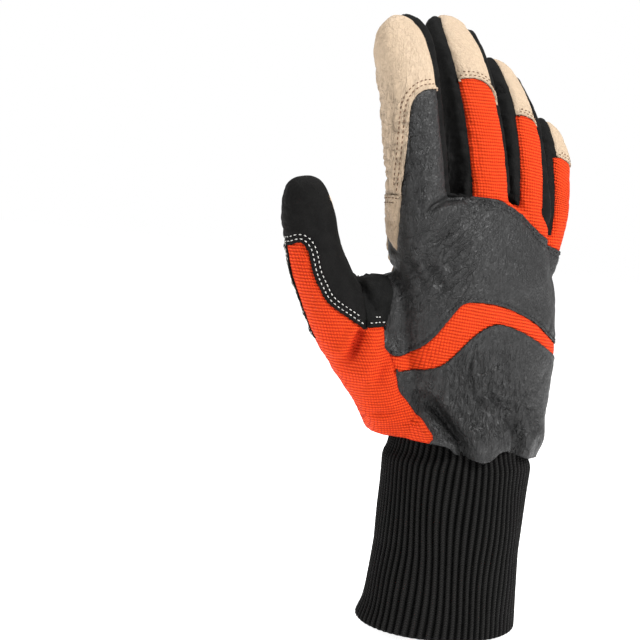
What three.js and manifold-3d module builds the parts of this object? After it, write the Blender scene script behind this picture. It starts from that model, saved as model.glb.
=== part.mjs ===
// A right-hand work glove for chainsaw use, standing as it is worn, with its fingers up.
// It has a cream leather palm and finger fronts, a palm patch, black leather panels and orange rib fabric
// on the back, black side strips between the fingers, a thumb in four pieces and a rib-knit cuff.
// Millimetres. +Z runs from the cuff's mouth to the fingertips, -Y is the back of the hand and -X the
// thumb's side. The origin is the centre of the cuff's mouth, where the wrist goes in.
import * as THREE from "three";
import { mergeVertices } from "three/addons/utils/BufferGeometryUtils.js";
import Module from "manifold-3d";

const wasm = await Module();
wasm.setup();

// Driving dimensions
const CUFF_LENGTH = 92;
const CUFF_WIDTH = 76;
const CUFF_DEPTH = 67;
const CUFF_WALL = 2.4;
const RIB_COUNT = 60;
const RIB_DEPTH = 1.1;
const CUFF_OVERLAP = 10;
const HAND_LENGTH = 118;
const HAND_WIDTH = 99;
const HAND_DEPTH = 60;
const FINGER_LENGTH = 131;
const FINGER_WIDTH = 27.6;
const FINGER_DEPTH = 29;
const THUMB_WIDTH = 30;
const THUMB_DEPTH = 27;
const THUMB_REACH = 102;
const LEATHER_WALL = 2;
const SEAM_GAP = 0.3;

// Angles round a finger and the thumb in degrees, from the side away from the thumb to the back and on
const STRIP_ANGLE = 42;
const RING_ROOT_ANGLE = 70;
const INDEX_SEAM_ANGLES = [175, 110];
const LITTLE_SEAM_ANGLE = -6;
const THUMB_SEAM_ANGLES = [8, 205];

// Depths along Y at which cuts end: FAR lies beyond the glove on both sides
const FAR = 60;
const BACK_SEAM_DEPTH = 3;
const KNUCKLE_DEPTH = -18;
const BAND_DEPTH = -13;
const BAND_EDGE_DEPTH = -6;
const COVER_EDGE_DEPTH = 11;
const GUSSET_DEPTH = 9;
const SIDE_PALM_DEPTH = 6;

// Facets round a finger, round the hand and along each limb, with fewer on the inside of the walls
const FINGER_SIDES = 14;
const FINGER_INNER_SIDES = 10;
const HAND_SIDES = 24;
const HAND_INNER_SIDES = 18;
const FINGER_STEPS = 8;
const THUMB_STEPS = 9;

// The hand's first section stands where the leather hem ends, over the top of the cuff.
const HEM_HEIGHT = CUFF_LENGTH - CUFF_OVERLAP;

// Sections of the hand. up is a share of HAND_LENGTH above the hem, across and width shares of HAND_WIDTH,
// depth and thick shares of HAND_DEPTH, arch how far the edges fall towards the palm as a share of
// HAND_DEPTH, and slope how fast the section drops towards the little finger.
const HAND_SECTIONS = [
  { up: 0.0, across: 0.01, depth: 0.0, width: 0.384, thick: 0.565, arch: 0.0, slope: 0 },
  { up: 0.14, across: 0.022, depth: -0.015, width: 0.405, thick: 0.51, arch: 0.03, slope: 0 },
  { up: 0.36, across: 0.01, depth: -0.05, width: 0.46, thick: 0.45, arch: 0.07, slope: 0 },
  { up: 0.62, across: -0.025, depth: -0.11, width: 0.485, thick: 0.375, arch: 0.12, slope: 0.08 },
  { up: 0.84, across: -0.068, depth: -0.16, width: 0.472, thick: 0.31, arch: 0.15, slope: 0.2 },
  { up: 0.97, across: -0.085, depth: -0.17, width: 0.46, thick: 0.25, arch: 0.16, slope: 0.3 },
  { up: 1.04, across: -0.083, depth: -0.19, width: 0.43, thick: 0.17, arch: 0.16, slope: 0.35 },
];

// Fingers. across, depth and up place the buried root as shares of the hand's sizes, length is a share of
// FINGER_LENGTH, splay leans it away from the thumb, turn swings its back towards the thumb, lift tips it
// back at the root, and knuckle, middle and end bend its joints towards the palm, all in degrees. root is
// its size where it leaves the hand, reached over rootSpan, and waist how much thinner it is half way.
const FINGERS = [
  {
    name: "index", across: -0.388, depth: -0.09, up: 0.62, length: 0.99, splay: -12, turn: -10, lift: -3,
    knuckle: 4, middle: 5, end: 5, width: 1.014, tipWidth: 0.957, thick: 1.14, tipThick: 0.86,
    root: 0.78, rootSpan: 0.22, waist: 0.13,
  },
  {
    name: "middle", across: -0.126, depth: -0.167, up: 0.729, length: 1, splay: -4, turn: -4, lift: -3,
    knuckle: 18, middle: 11, end: 8, width: 1, tipWidth: 0.94, thick: 1, tipThick: 0.79,
    root: 0.78, rootSpan: 0.22, waist: 0.03,
  },
  {
    name: "ring", across: 0.125, depth: -0.133, up: 0.695, length: 0.908, splay: 3.6, turn: 6, lift: -3,
    knuckle: 19, middle: 11, end: 8, width: 0.942, tipWidth: 0.84, thick: 0.966, tipThick: 0.66,
    root: 0.78, rootSpan: 0.22, waist: 0.0,
  },
  {
    name: "little", across: 0.275, depth: 0.0, up: 0.61, length: 0.765, splay: 16.5, turn: 12, lift: -3,
    knuckle: 14, middle: 9, end: 6, width: 0.81, tipWidth: 0.8, thick: 0.897, tipThick: 0.69,
    root: 0.62, rootSpan: 0.55, waist: 0.0,
  },
];

// Sections of the thumb. across is a share of THUMB_REACH, depth of HAND_DEPTH, up of HAND_LENGTH above the
// hem, width of THUMB_WIDTH and thick of THUMB_DEPTH.
const THUMB_SECTIONS = [
  { across: -0.03, depth: 0.06, up: 0.03, width: 0.78, thick: 0.8 },
  { across: -0.265, depth: 0.133, up: 0.2, width: 0.74, thick: 0.81 },
  { across: -0.5, depth: 0.15, up: 0.356, width: 0.6, thick: 0.7 },
  { across: -0.72, depth: 0.167, up: 0.545, width: 0.5, thick: 0.59 },
  { across: -0.868, depth: 0.15, up: 0.72, width: 0.44, thick: 0.5 },
  { across: -0.94, depth: 0.133, up: 0.87, width: 0.41, thick: 0.44 },
  { across: -0.978, depth: 0.117, up: 0.965, width: 0.33, thick: 0.34 },
  { across: -1.0, depth: 0.108, up: 1.02, width: 0.1, thick: 0.12 },
];

// The web between the thumb and the hand. across, depth and up place each section as shares of the hand's
// sizes, width and thick are its half sizes as shares of HAND_WIDTH and HAND_DEPTH.
const WEB_SECTIONS = [
  { across: -0.45, depth: 0.08, up: 0.32, width: 0.16, thick: 0.26 },
  { across: -0.53, depth: 0.06, up: 0.5, width: 0.16, thick: 0.2 },
  { across: -0.6, depth: 0.04, up: 0.63, width: 0.13, thick: 0.15 },
  { across: -0.62, depth: 0.03, up: 0.685, width: 0.1, thick: 0.06 },
];
const THUMB_BACK = new THREE.Vector3(-0.45, -0.89, 0).normalize();

// How square a section is: 1 is an ellipse, less is squarer
const FINGER_SQUARENESS = 0.84;
const HAND_SQUARENESS = 0.78;

const radians = THREE.MathUtils.degToRad;

function smoothStep(value) {
  return THREE.MathUtils.smoothstep(value, 0, 1);
}

function roundEnd(position, start) {
  const past = Math.max(0, (position - start) / (1 - start));
  return Math.sqrt(Math.max(0, 1 - past * past));
}

// A solid from a closed geometry
function solidOf(geometry) {
  const plain = geometry.clone();
  plain.deleteAttribute("normal");
  plain.deleteAttribute("uv");
  const merged = mergeVertices(plain, 1e-4);
  const solid = new wasm.Manifold(
    new wasm.Mesh({
      numProp: 3,
      vertProperties: new Float32Array(merged.attributes.position.array),
      triVerts: new Uint32Array(merged.index.array),
    }),
  );
  return solid;
}

// A closed skin over rings of points, with a fan at each end
function loft(rings) {
  const sides = rings[0].length;
  const positions = [];
  const indices = [];
  for (const ring of rings) {
    for (const point of ring) positions.push(point.x, point.y, point.z);
  }
  for (let row = 0; row < rings.length - 1; row++) {
    for (let side = 0; side < sides; side++) {
      const next = (side + 1) % sides;
      const a = row * sides + side;
      const b = row * sides + next;
      indices.push(a, b, b + sides, a, b + sides, a + sides);
    }
  }
  for (const last of [false, true]) {
    const row = last ? rings.length - 1 : 0;
    const centre = new THREE.Vector3();
    for (const point of rings[row]) centre.addScaledVector(point, 1 / sides);
    const hub = positions.length / 3;
    positions.push(centre.x, centre.y, centre.z);
    for (let side = 0; side < sides; side++) {
      const a = row * sides + side;
      const b = row * sides + ((side + 1) % sides);
      indices.push(...(last ? [hub, a, b] : [hub, b, a]));
    }
  }
  const geometry = new THREE.BufferGeometry();
  geometry.setAttribute("position", new THREE.Float32BufferAttribute(positions, 3));
  geometry.setIndex(indices);
  return geometry;
}

// A point of a rounded section at an angle from its width axis
function sectionPoint(frame, halfWidth, halfThick, angle, squareness) {
  const c = Math.cos(angle);
  const s = Math.sin(angle);
  const x = halfWidth * Math.sign(c) * Math.abs(c) ** squareness;
  const y = halfThick * Math.sign(s) * Math.abs(s) ** squareness;
  return frame.centre.clone().addScaledVector(frame.across, x).addScaledVector(frame.back, y);
}

function sectionRing(frame, halfWidth, halfThick, inset, squareness) {
  const sides = inset > 0 ? FINGER_INNER_SIDES : FINGER_SIDES;
  const ring = [];
  for (let side = 0; side < sides; side++) {
    ring.push(sectionPoint(frame, halfWidth, halfThick, (-side / sides) * 2 * Math.PI, squareness));
  }
  return ring;
}

// The frame of a finger at a share of its length: centre, direction, width axis and back
function fingerFrame(finger, share) {
  const splay = radians(finger.splay);
  const turn = radians(finger.turn);
  const straight = new THREE.Vector3(Math.sin(splay), 0, Math.cos(splay));
  const side = new THREE.Vector3(Math.cos(splay), 0, -Math.sin(splay));
  const outwards = new THREE.Vector3(0, -1, 0);
  const across = side.clone().multiplyScalar(Math.cos(turn)).addScaledVector(outwards, -Math.sin(turn));
  const back = outwards.clone().multiplyScalar(Math.cos(turn)).addScaledVector(side, Math.sin(turn));
  const centre = new THREE.Vector3(
    finger.across * HAND_WIDTH,
    finger.depth * HAND_DEPTH,
    HEM_HEIGHT + finger.up * HAND_LENGTH,
  );
  const bend = (t) =>
    radians(
      finger.lift +
        finger.knuckle * smoothStep((t - 0.12) / 0.28) +
        finger.middle * smoothStep((t - 0.38) / 0.3) +
        finger.end * smoothStep((t - 0.66) / 0.2),
    );
  const heading = (t) =>
    straight.clone().multiplyScalar(Math.cos(bend(t))).addScaledVector(back, -Math.sin(bend(t)));
  const stretch = finger.length * FINGER_LENGTH;
  const parts = 48;
  for (let part = 0; part < parts; part++) {
    const middle = ((part + 0.5) / parts) * share;
    centre.addScaledVector(heading(middle), (share * stretch) / parts);
  }
  const direction = heading(share);
  const lean = bend(share);
  const tilted = back.clone().multiplyScalar(Math.cos(lean)).addScaledVector(straight, Math.sin(lean));
  return { centre, direction, across, back: tilted };
}

// Half width and half thickness of a finger at a share of its length, inset from the outer face
function fingerHalves(finger, share, inset) {
  const end = 1 - inset / (finger.length * FINGER_LENGTH);
  const along = share / end;
  const root = finger.root + (1 - finger.root) * smoothStep(along / finger.rootSpan);
  const waist = 1 - finger.waist * Math.exp(-(((along - 0.57) / 0.2) ** 2));
  const mix = (from, to) => root * (from + (to - from) * along);
  const width = 0.5 * FINGER_WIDTH * mix(finger.width, finger.tipWidth) - inset;
  const thick = 0.5 * FINGER_DEPTH * waist * mix(finger.thick, finger.tipThick) - inset;
  return [Math.max(0.3, width * roundEnd(along, 0.87)), Math.max(0.3, thick * roundEnd(along, 0.68))];
}

function fingerSolid(finger, inset) {
  const end = 1 - inset / (finger.length * FINGER_LENGTH);
  const rings = [];
  for (let step = 0; step <= FINGER_STEPS; step++) {
    const even = step / FINGER_STEPS;
    const share = end * (1 - (1 - even) ** 2);
    const frame = fingerFrame(finger, share);
    const [halfWidth, halfThick] = fingerHalves(finger, share, inset);
    rings.push(sectionRing(frame, halfWidth, halfThick, inset, FINGER_SQUARENESS));
  }
  return solidOf(loft(rings));
}

function thumbCurve(column, scale, base = 0) {
  const points = THUMB_SECTIONS.map((row, index) => new THREE.Vector2(index, base + row[column] * scale));
  return new THREE.SplineCurve(points);
}

const thumbPath = {
  x: thumbCurve("across", THUMB_REACH),
  y: thumbCurve("depth", HAND_DEPTH),
  z: thumbCurve("up", HAND_LENGTH, HEM_HEIGHT),
  width: thumbCurve("width", THUMB_WIDTH),
  thick: thumbCurve("thick", THUMB_DEPTH),
};

function thumbFrame(share) {
  const at = (t) =>
    new THREE.Vector3(...["x", "y", "z"].map((axis) => thumbPath[axis].getPoint(t).y));
  const small = 0.01;
  const direction = at(Math.min(1, share + small))
    .sub(at(Math.max(0, share - small)))
    .normalize();
  const back = THUMB_BACK.clone().addScaledVector(direction, -THUMB_BACK.dot(direction)).normalize();
  const across = new THREE.Vector3().crossVectors(direction, back);
  return { centre: at(share), direction, across, back };
}

function thumbSolid(inset) {
  const rings = [];
  const reach = new THREE.Vector3().subVectors(thumbFrame(1).centre, thumbFrame(0).centre).length();
  const end = 1 - inset / reach;
  for (let step = 0; step <= THUMB_STEPS; step++) {
    const share = (step / THUMB_STEPS) * end;
    const frame = thumbFrame(share);
    const halfWidth = Math.max(0.3, thumbPath.width.getPoint(share).y - inset);
    const halfThick = Math.max(0.3, thumbPath.thick.getPoint(share).y - inset);
    rings.push(sectionRing(frame, halfWidth, halfThick, inset, FINGER_SQUARENESS));
  }
  return solidOf(loft(rings));
}

function handRing(row, inset, drop = 0) {
  const halfWidth = Math.max(1, row.width * HAND_WIDTH - inset);
  const halfThick = Math.max(1, row.thick * HAND_DEPTH - inset);
  const sides = inset > 0 ? HAND_INNER_SIDES : HAND_SIDES;
  const ring = [];
  for (let side = 0; side < sides; side++) {
    const angle = (side / sides) * 2 * Math.PI;
    const c = Math.cos(angle);
    const s = Math.sin(angle);
    const x = halfWidth * Math.sign(c) * Math.abs(c) ** HAND_SQUARENESS;
    const y = halfThick * Math.sign(s) * Math.abs(s) ** HAND_SQUARENESS;
    const reach = x / halfWidth;
    const fall = row.arch * HAND_DEPTH * (reach > 0 ? 1.2 : 0.25) * reach * reach;
    ring.push(
      new THREE.Vector3(
        row.across * HAND_WIDTH + x,
        row.depth * HAND_DEPTH + y + fall,
        HEM_HEIGHT + row.up * HAND_LENGTH - row.slope * Math.max(0, x) - drop,
      ),
    );
  }
  return ring;
}

// The hand's body. Its bottom is moved by below, so that the inside can run out through the hem.
function handSolid(inset, below) {
  const rings = [handRing(HAND_SECTIONS[0], inset, below)];
  HAND_SECTIONS.forEach((row, index) => {
    const top = index === HAND_SECTIONS.length - 1;
    rings.push(handRing(row, inset, top ? Math.max(0, inset) : 0.001 * index));
  });
  return solidOf(loft(rings));
}

function webSolid(inset) {
  const rings = WEB_SECTIONS.map((row, index) => {
    const top = index === WEB_SECTIONS.length - 1;
    const frame = {
      centre: new THREE.Vector3(
        row.across * HAND_WIDTH,
        row.depth * HAND_DEPTH,
        HEM_HEIGHT + row.up * HAND_LENGTH - (top ? inset : 0),
      ),
      across: new THREE.Vector3(1, -0.3, 0.35),
      back: new THREE.Vector3(0, -1, 0),
    };
    const halfWidth = Math.max(1, row.width * HAND_WIDTH - inset);
    const halfThick = Math.max(1, row.thick * HAND_DEPTH - inset);
    return sectionRing(frame, halfWidth, halfThick, inset, 1);
  });
  return solidOf(loft(rings));
}

// The whole form of hand, fingers and thumb, above the hem
function gloveForm(inset, below = 0.01) {
  const fingers = FINGERS.map((finger) => fingerSolid(finger, inset));
  const limbs = [handSolid(inset, below), thumbSolid(inset), webSolid(inset), ...fingers];
  return limbs.reduce((sum, limb) => sum.add(limb));
}

const outer = gloveForm(0);
const inner = gloveForm(LEATHER_WALL, 30);

// Seam lines, as points with across a share of HAND_WIDTH and up a share of HAND_LENGTH above the hem
const KNUCKLE_SEAM = [
  { across: -0.38, up: 1.02 },
  { across: -0.24, up: 1.035 },
  { across: -0.1, up: 1.025 },
  { across: 0.06, up: 0.975 },
  { across: 0.18, up: 0.915 },
  { across: 0.4, up: 0.865 },
  { across: 0.65, up: 0.83 },
];
const WAVE_TOP_SEAM = [
  { across: -0.58, up: 0.42 },
  { across: -0.53, up: 0.39 },
  { across: -0.465, up: 0.402 },
  { across: -0.41, up: 0.466 },
  { across: -0.333, up: 0.585 },
  { across: -0.27, up: 0.627 },
  { across: -0.1, up: 0.624 },
  { across: 0.033, up: 0.598 },
  { across: 0.16, up: 0.56 },
  { across: 0.32, up: 0.5 },
  { across: 0.65, up: 0.42 },
];
const WAVE_LOW_SEAM = [
  { across: -0.58, up: 0.32 },
  { across: -0.51, up: 0.328 },
  { across: -0.44, up: 0.34 },
  { across: -0.368, up: 0.362 },
  { across: -0.313, up: 0.407 },
  { across: -0.242, up: 0.483 },
  { across: -0.17, up: 0.53 },
  { across: -0.086, up: 0.551 },
  { across: 0.044, up: 0.53 },
  { across: 0.175, up: 0.492 },
  { across: 0.326, up: 0.445 },
  { across: 0.65, up: 0.36 },
];
const SIDE_SEAM = [
  { across: -0.56, up: 0.775 },
  { across: -0.556, up: 0.636 },
  { across: -0.575, up: 0.51 },
  { across: -0.554, up: 0.415 },
  { across: -0.512, up: 0.322 },
  { across: -0.475, up: 0.25 },
  { across: -0.393, up: 0.18 },
  { across: -0.347, up: 0.064 },
  { across: -0.34, up: -0.1 },
];
const TONGUE_SEAM = [
  { across: -1.35, up: 0.6 },
  { across: -1.1, up: 0.72 },
  { across: -1.065, up: 0.785 },
  { across: -1.03, up: 0.785 },
  { across: -0.976, up: 0.682 },
  { across: -0.935, up: 0.627 },
  { across: -0.894, up: 0.581 },
  { across: -0.847, up: 0.551 },
  { across: -0.758, up: 0.511 },
  { across: -0.69, up: 0.48 },
];
const THUMB_SEAM = [
  { across: -0.2, up: -0.1 },
  { across: -0.3, up: 0.2 },
  { across: -0.325, up: 0.32 },
  { across: -0.36, up: 0.466 },
  { across: -0.385, up: 0.576 },
  { across: -0.435, up: 0.636 },
  { across: -0.585, up: 0.67 },
  { across: -0.665, up: 0.687 },
  { across: -0.69, up: 0.76 },
  { across: -0.77, up: 0.95 },
  { across: -0.9, up: 1.3 },
];
const SIDE_PALM_SEAM = [
  { across: -0.3, up: -0.1 },
  { across: -0.31, up: 0.0 },
  { across: -0.395, up: 0.1 },
  { across: -0.59, up: 0.27 },
  { across: -0.75, up: 0.4 },
];
const PATCH_TOP_SEAM = [
  { across: -0.75, up: 1.0 },
  { across: -0.6, up: 1.005 },
  { across: -0.45, up: 0.985 },
  { across: -0.25, up: 0.966 },
  { across: 0.0, up: 0.924 },
  { across: 0.33, up: 0.864 },
  { across: 0.65, up: 0.8 },
];
const HEM_LINE = [
  { across: -0.7, up: 0.03 },
  { across: -0.34, up: 0.06 },
  { across: -0.23, up: 0.035 },
  { across: -0.12, up: 0.01 },
  { across: 0.01, up: 0.055 },
  { across: 0.1, up: 0.035 },
  { across: 0.26, up: 0.02 },
  { across: 0.7, up: 0.02 },
];

function seamPoints(seam) {
  return seam.map((row) => new THREE.Vector2(row.across * HAND_WIDTH, HEM_HEIGHT + row.up * HAND_LENGTH));
}

function corner(across, up) {
  return seamPoints([{ across, up }])[0];
}

// A closed outline moved outwards by a distance, with sharp corners
function grown(outline, distance) {
  const points = THREE.ShapeUtils.isClockWise(outline) ? [...outline].reverse() : outline;
  return points.map((point, index) => {
    const before = points[(index + points.length - 1) % points.length];
    const after = points[(index + 1) % points.length];
    const first = new THREE.Vector2().subVectors(point, before).normalize();
    const second = new THREE.Vector2().subVectors(after, point).normalize();
    const normal = new THREE.Vector2(first.y + second.y, -first.x - second.x).normalize();
    const spread = Math.max(0.35, normal.dot(new THREE.Vector2(first.y, -first.x)));
    return point.clone().addScaledVector(normal, distance / spread);
  });
}

// An outline over the front view, cut through from one depth to another along Y
function slab(outline, fromY, toY, grow) {
  const shape = new THREE.Shape(grown(outline, grow));
  const depth = toY - fromY + 2 * grow;
  const geometry = new THREE.ExtrudeGeometry(shape, { depth, bevelEnabled: false });
  geometry.rotateX(Math.PI / 2);
  geometry.translate(0, toY + grow, 0);
  return solidOf(geometry);
}

// An angle at a share of the way along a wedge: one number, or a pair for its root and its tip
function angleAlong(angle, share) {
  return Array.isArray(angle) ? angle[0] + (angle[1] - angle[0]) * share : angle;
}

// A wedge along a limb, from its centre line outwards between two angles
function wedge(frames, reach, fromAngle, toAngle, grow) {
  const spokes = 3;
  const rings = frames.map((frame, index) => {
    const from = angleAlong(fromAngle, index / (frames.length - 1));
    const to = angleAlong(toAngle, index / (frames.length - 1));
    const middle = radians((from + to) / 2);
    const half = radians((to - from) / 2);
    const setBack = grow / Math.sin(Math.min(half, Math.PI / 2));
    const direction = (angle) =>
      frame.across.clone().multiplyScalar(Math.cos(angle)).addScaledVector(frame.back, Math.sin(angle));
    const apex = frame.centre.clone().addScaledVector(direction(middle), -setBack);
    const ring = [apex];
    for (let spoke = 0; spoke <= spokes; spoke++) {
      const angle = middle - half + (spoke / spokes) * 2 * half;
      ring.push(apex.clone().addScaledVector(direction(angle), reach + setBack));
    }
    return ring.reverse();
  });
  return solidOf(loft(rings));
}

function fingerWedge(index, fromAngle, toAngle, fromShare, toShare, grow) {
  const finger = FINGERS[index];
  const margin = grow / (finger.length * FINGER_LENGTH);
  const steps = 5;
  const frames = [];
  for (let step = 0; step <= steps; step++) {
    const start = fromShare - margin;
    frames.push(fingerFrame(finger, start + (step / steps) * (toShare - fromShare + 2 * margin)));
  }
  const reach = 0.62 * FINGER_WIDTH * Math.max(finger.width, finger.thick);
  return wedge(frames, reach, fromAngle, toAngle, grow);
}

function thumbWedge(fromAngle, toAngle, grow) {
  const frames = [];
  const steps = 8;
  for (let step = 0; step <= steps; step++) frames.push(thumbFrame(step / steps));
  const last = frames[steps];
  frames.push({ ...last, centre: last.centre.clone().addScaledVector(last.direction, 4) });
  return wedge(frames, 1.6 * THUMB_WIDTH, fromAngle, toAngle, grow);
}

// Gaps between fingers. from and to are shares of HAND_WIDTH and up of HAND_LENGTH at the gap's bottom,
// back and front the depths the strip's bridge spans there, and the starts shares of each finger's length.
// leftAngle is where the strip ends on the back of the finger on its left.
const FINGER_GAPS = [
  {
    from: -0.45, to: -0.2, up: 1.03, back: -24, front: -3, leftStart: 0.385, rightStart: 0.26,
    leftAngle: STRIP_ANGLE,
  },
  {
    from: -0.1, to: 0.12, up: 1.02, back: -24, front: -3, leftStart: 0.25, rightStart: 0.31,
    leftAngle: STRIP_ANGLE,
  },
  {
    from: 0.2, to: 0.4, up: 0.94, back: -20, front: 3, leftStart: 0.23, rightStart: 0.36,
    leftAngle: [RING_ROOT_ANGLE, STRIP_ANGLE - 6],
  },
];

// The strip between two fingers: both facing sides, joined by a bridge across the bottom of the gap
function sideStrip(left, grow) {
  const gap = FINGER_GAPS[left];
  const onLeft = fingerWedge(left, -STRIP_ANGLE, gap.leftAngle, gap.leftStart, 0.95, grow);
  const onRight = fingerWedge(left + 1, 180 - STRIP_ANGLE, 180 + STRIP_ANGLE, gap.rightStart, 0.95, grow);
  const outline = [
    corner(gap.from, gap.up - 0.05),
    corner(gap.to, gap.up - 0.05),
    corner(gap.to, gap.up + 0.06),
    corner(gap.from, gap.up + 0.06),
  ];
  return onLeft.add(onRight).add(slab(outline, gap.back, gap.front, grow));
}

// Where each back panel ends along its finger, as shares of the finger's length
const BACK_ENDS = [0.724, 0.68, 0.67, 0.75];

function backUpper(grow) {
  const above = [...seamPoints(KNUCKLE_SEAM), corner(0.65, 0.7), corner(-0.57, 0.7), corner(-0.56, 1.0)];
  const below = [
    corner(-0.57, 0.86),
    corner(0.1, 0.86),
    ...seamPoints(KNUCKLE_SEAM.slice(4)),
    ...seamPoints(WAVE_TOP_SEAM).reverse(),
    corner(-0.575, 0.51),
    corner(-0.556, 0.636),
    corner(-0.575, 0.72),
  ];
  return slab(above, -FAR, KNUCKLE_DEPTH, grow)
    .add(slab(below, -FAR, BACK_SEAM_DEPTH, grow))
    .add(fingerWedge(0, STRIP_ANGLE, INDEX_SEAM_ANGLES, 0.12, BACK_ENDS[0], grow));
}

function knuckleFabric(grow) {
  const band = [
    ...seamPoints(KNUCKLE_SEAM.slice(1, 5)),
    corner(0.18, 1.0),
    corner(0.06, 1.02),
    corner(-0.1, 1.06),
    corner(-0.24, 1.08),
  ];
  const edge = [
    ...seamPoints(KNUCKLE_SEAM.slice(4)),
    corner(0.65, 0.9),
    corner(0.4, 0.94),
    corner(0.18, 1.0),
  ];
  return slab(band, -FAR, BAND_DEPTH, grow)
    .add(slab(edge, -FAR, BAND_EDGE_DEPTH, grow))
    .add(fingerWedge(1, STRIP_ANGLE, 180 - STRIP_ANGLE, 0.15, BACK_ENDS[1], grow))
    .add(fingerWedge(2, [RING_ROOT_ANGLE, STRIP_ANGLE], 180 - STRIP_ANGLE, 0.15, BACK_ENDS[2], grow))
    .add(fingerWedge(3, LITTLE_SEAM_ANGLE, 180 - STRIP_ANGLE, 0.2, BACK_ENDS[3], grow));
}

function backWave(grow) {
  const outline = [...seamPoints(WAVE_TOP_SEAM), ...seamPoints(WAVE_LOW_SEAM).reverse()];
  return slab(outline, -FAR, BACK_SEAM_DEPTH, grow);
}

function backLower(grow) {
  const outline = [...seamPoints(WAVE_LOW_SEAM), corner(0.65, -0.1), corner(-0.7, -0.1)];
  return slab(outline, -FAR, BACK_SEAM_DEPTH, grow);
}

// Everything on the back of the thumb's side, left of the seam beside the black back panels
function thumbSideZone(grow) {
  const back = [
    ...seamPoints(SIDE_SEAM).reverse(),
    corner(-0.62, 0.8),
    corner(-0.75, 1.3),
    corner(-1.4, 1.3),
    corner(-1.4, -0.1),
  ];
  const palmSide = [...seamPoints(SIDE_PALM_SEAM), corner(-0.6, 0.6), corner(0, 0.6), corner(0, -0.1)];
  return slab(back, -FAR, FAR, grow)
    .intersect(thumbWedge(...THUMB_SEAM_ANGLES, grow))
    .subtract(slab(palmSide, SIDE_PALM_DEPTH, FAR, -grow));
}

function thumbCover(grow) {
  const above = [...seamPoints(TONGUE_SEAM), corner(-0.69, 0.7), corner(-0.6, 1.3), corner(-1.4, 1.3)];
  const edge = [corner(-1.4, 0.55), corner(-0.8, 0.55), corner(-0.8, 1.1), corner(-1.4, 1.1)];
  return slab(above, -FAR, FAR, grow)
    .add(slab(edge, COVER_EDGE_DEPTH, FAR, grow))
    .intersect(thumbSideZone(grow));
}

function thumbGusset(grow) {
  const outline = [
    corner(-0.695, 0.49),
    corner(-0.57, 0.5),
    corner(-0.556, 0.636),
    corner(-0.575, 0.72),
    corner(-0.575, 0.775),
    corner(-0.6, 0.78),
    corner(-0.72, 0.7),
  ];
  return slab(outline, -FAR, GUSSET_DEPTH, grow);
}

function thumbFront(grow) {
  return slab([...seamPoints(THUMB_SEAM), corner(-1.4, 1.3), corner(-1.4, -0.1)], -FAR, FAR, grow);
}

function palmPatch(grow) {
  return slab([...seamPoints(PATCH_TOP_SEAM), corner(0.65, -0.1), corner(-0.75, -0.1)], -FAR, FAR, grow);
}

// The cuff: a rib-knit tube, open at both ends
const CUFF_SECTIONS = [
  { up: 0, width: 1.08, thick: 0.97 },
  { up: 0.4, width: 0.985, thick: 0.94 },
  { up: 0.85, width: 0.985, thick: 0.965 },
  { up: 0.885, width: 0.93, thick: 0.925 },
  { up: 1, width: 0.915, thick: 0.86 },
];

function cuffRing(row, offset, ribbed) {
  const ring = [];
  const steps = ribbed ? RIB_COUNT * 2 : RIB_COUNT / 2;
  for (let step = 0; step < steps; step++) {
    const angle = (step / steps) * 2 * Math.PI;
    const rib = ribbed && step % 2 === 1 ? RIB_DEPTH : 0;
    ring.push(
      new THREE.Vector3(
        (0.5 * CUFF_WIDTH * row.width - offset - rib) * Math.cos(angle),
        (0.5 * CUFF_DEPTH * row.thick - offset - rib) * Math.sin(angle),
        row.up * CUFF_LENGTH,
      ),
    );
  }
  return ring;
}

function cuffSolid() {
  const outside = solidOf(loft(CUFF_SECTIONS.map((row) => cuffRing(row, 0, true))));
  const hollow = CUFF_SECTIONS.map((row, index) => {
    const ring = cuffRing(row, CUFF_WALL, false);
    const last = CUFF_SECTIONS.length - 1;
    for (const point of ring) point.z += index === 0 ? -1 : index === last ? 1 : 0;
    return ring;
  });
  return outside.subtract(solidOf(loft(hollow)));
}

const glove = new THREE.Group();

function addPiece(name, solid, colour, roughness) {
  const data = solid.getMesh();
  const geometry = new THREE.BufferGeometry();
  geometry.setAttribute("position", new THREE.Float32BufferAttribute(data.vertProperties, 3));
  geometry.setIndex(new THREE.Uint32BufferAttribute(data.triVerts, 1));
  geometry.computeVertexNormals();
  const mesh = new THREE.Mesh(geometry, new THREE.MeshStandardMaterial({ color: colour, roughness }));
  mesh.name = name;
  glove.add(mesh);
}


const BLACK_LEATHER = 0x2c2c2e;
const BLACK_TEXTILE = 0x1c1c1f;
const ORANGE_FABRIC = 0xf0501e;
const CREAM_LEATHER = 0xe4cfa9;

const panels = [
  ["back_upper", backUpper, BLACK_LEATHER],
  ["knuckle_fabric", knuckleFabric, ORANGE_FABRIC],
  ["side_index_middle", (grow) => sideStrip(0, grow), BLACK_TEXTILE],
  ["side_middle_ring", (grow) => sideStrip(1, grow), BLACK_TEXTILE],
  ["side_ring_little", (grow) => sideStrip(2, grow), BLACK_TEXTILE],
  ["thumb_cover", thumbCover, BLACK_LEATHER],
  ["thumb_gusset", thumbGusset, BLACK_TEXTILE],
  ["thumb_side", thumbSideZone, ORANGE_FABRIC],
  ["back_wave", backWave, ORANGE_FABRIC],
  ["back_lower", backLower, BLACK_LEATHER],
  ["thumb_front", thumbFront, CREAM_LEATHER],
  ["palm_patch", palmPatch, CREAM_LEATHER],
];

// The largest body of a cut, without the crumbs that thin slices leave
function largestBody(solid) {
  const bodies = solid.decompose().sort((a, b) => b.volume() - a.volume());
  return bodies[0];
}

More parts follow.
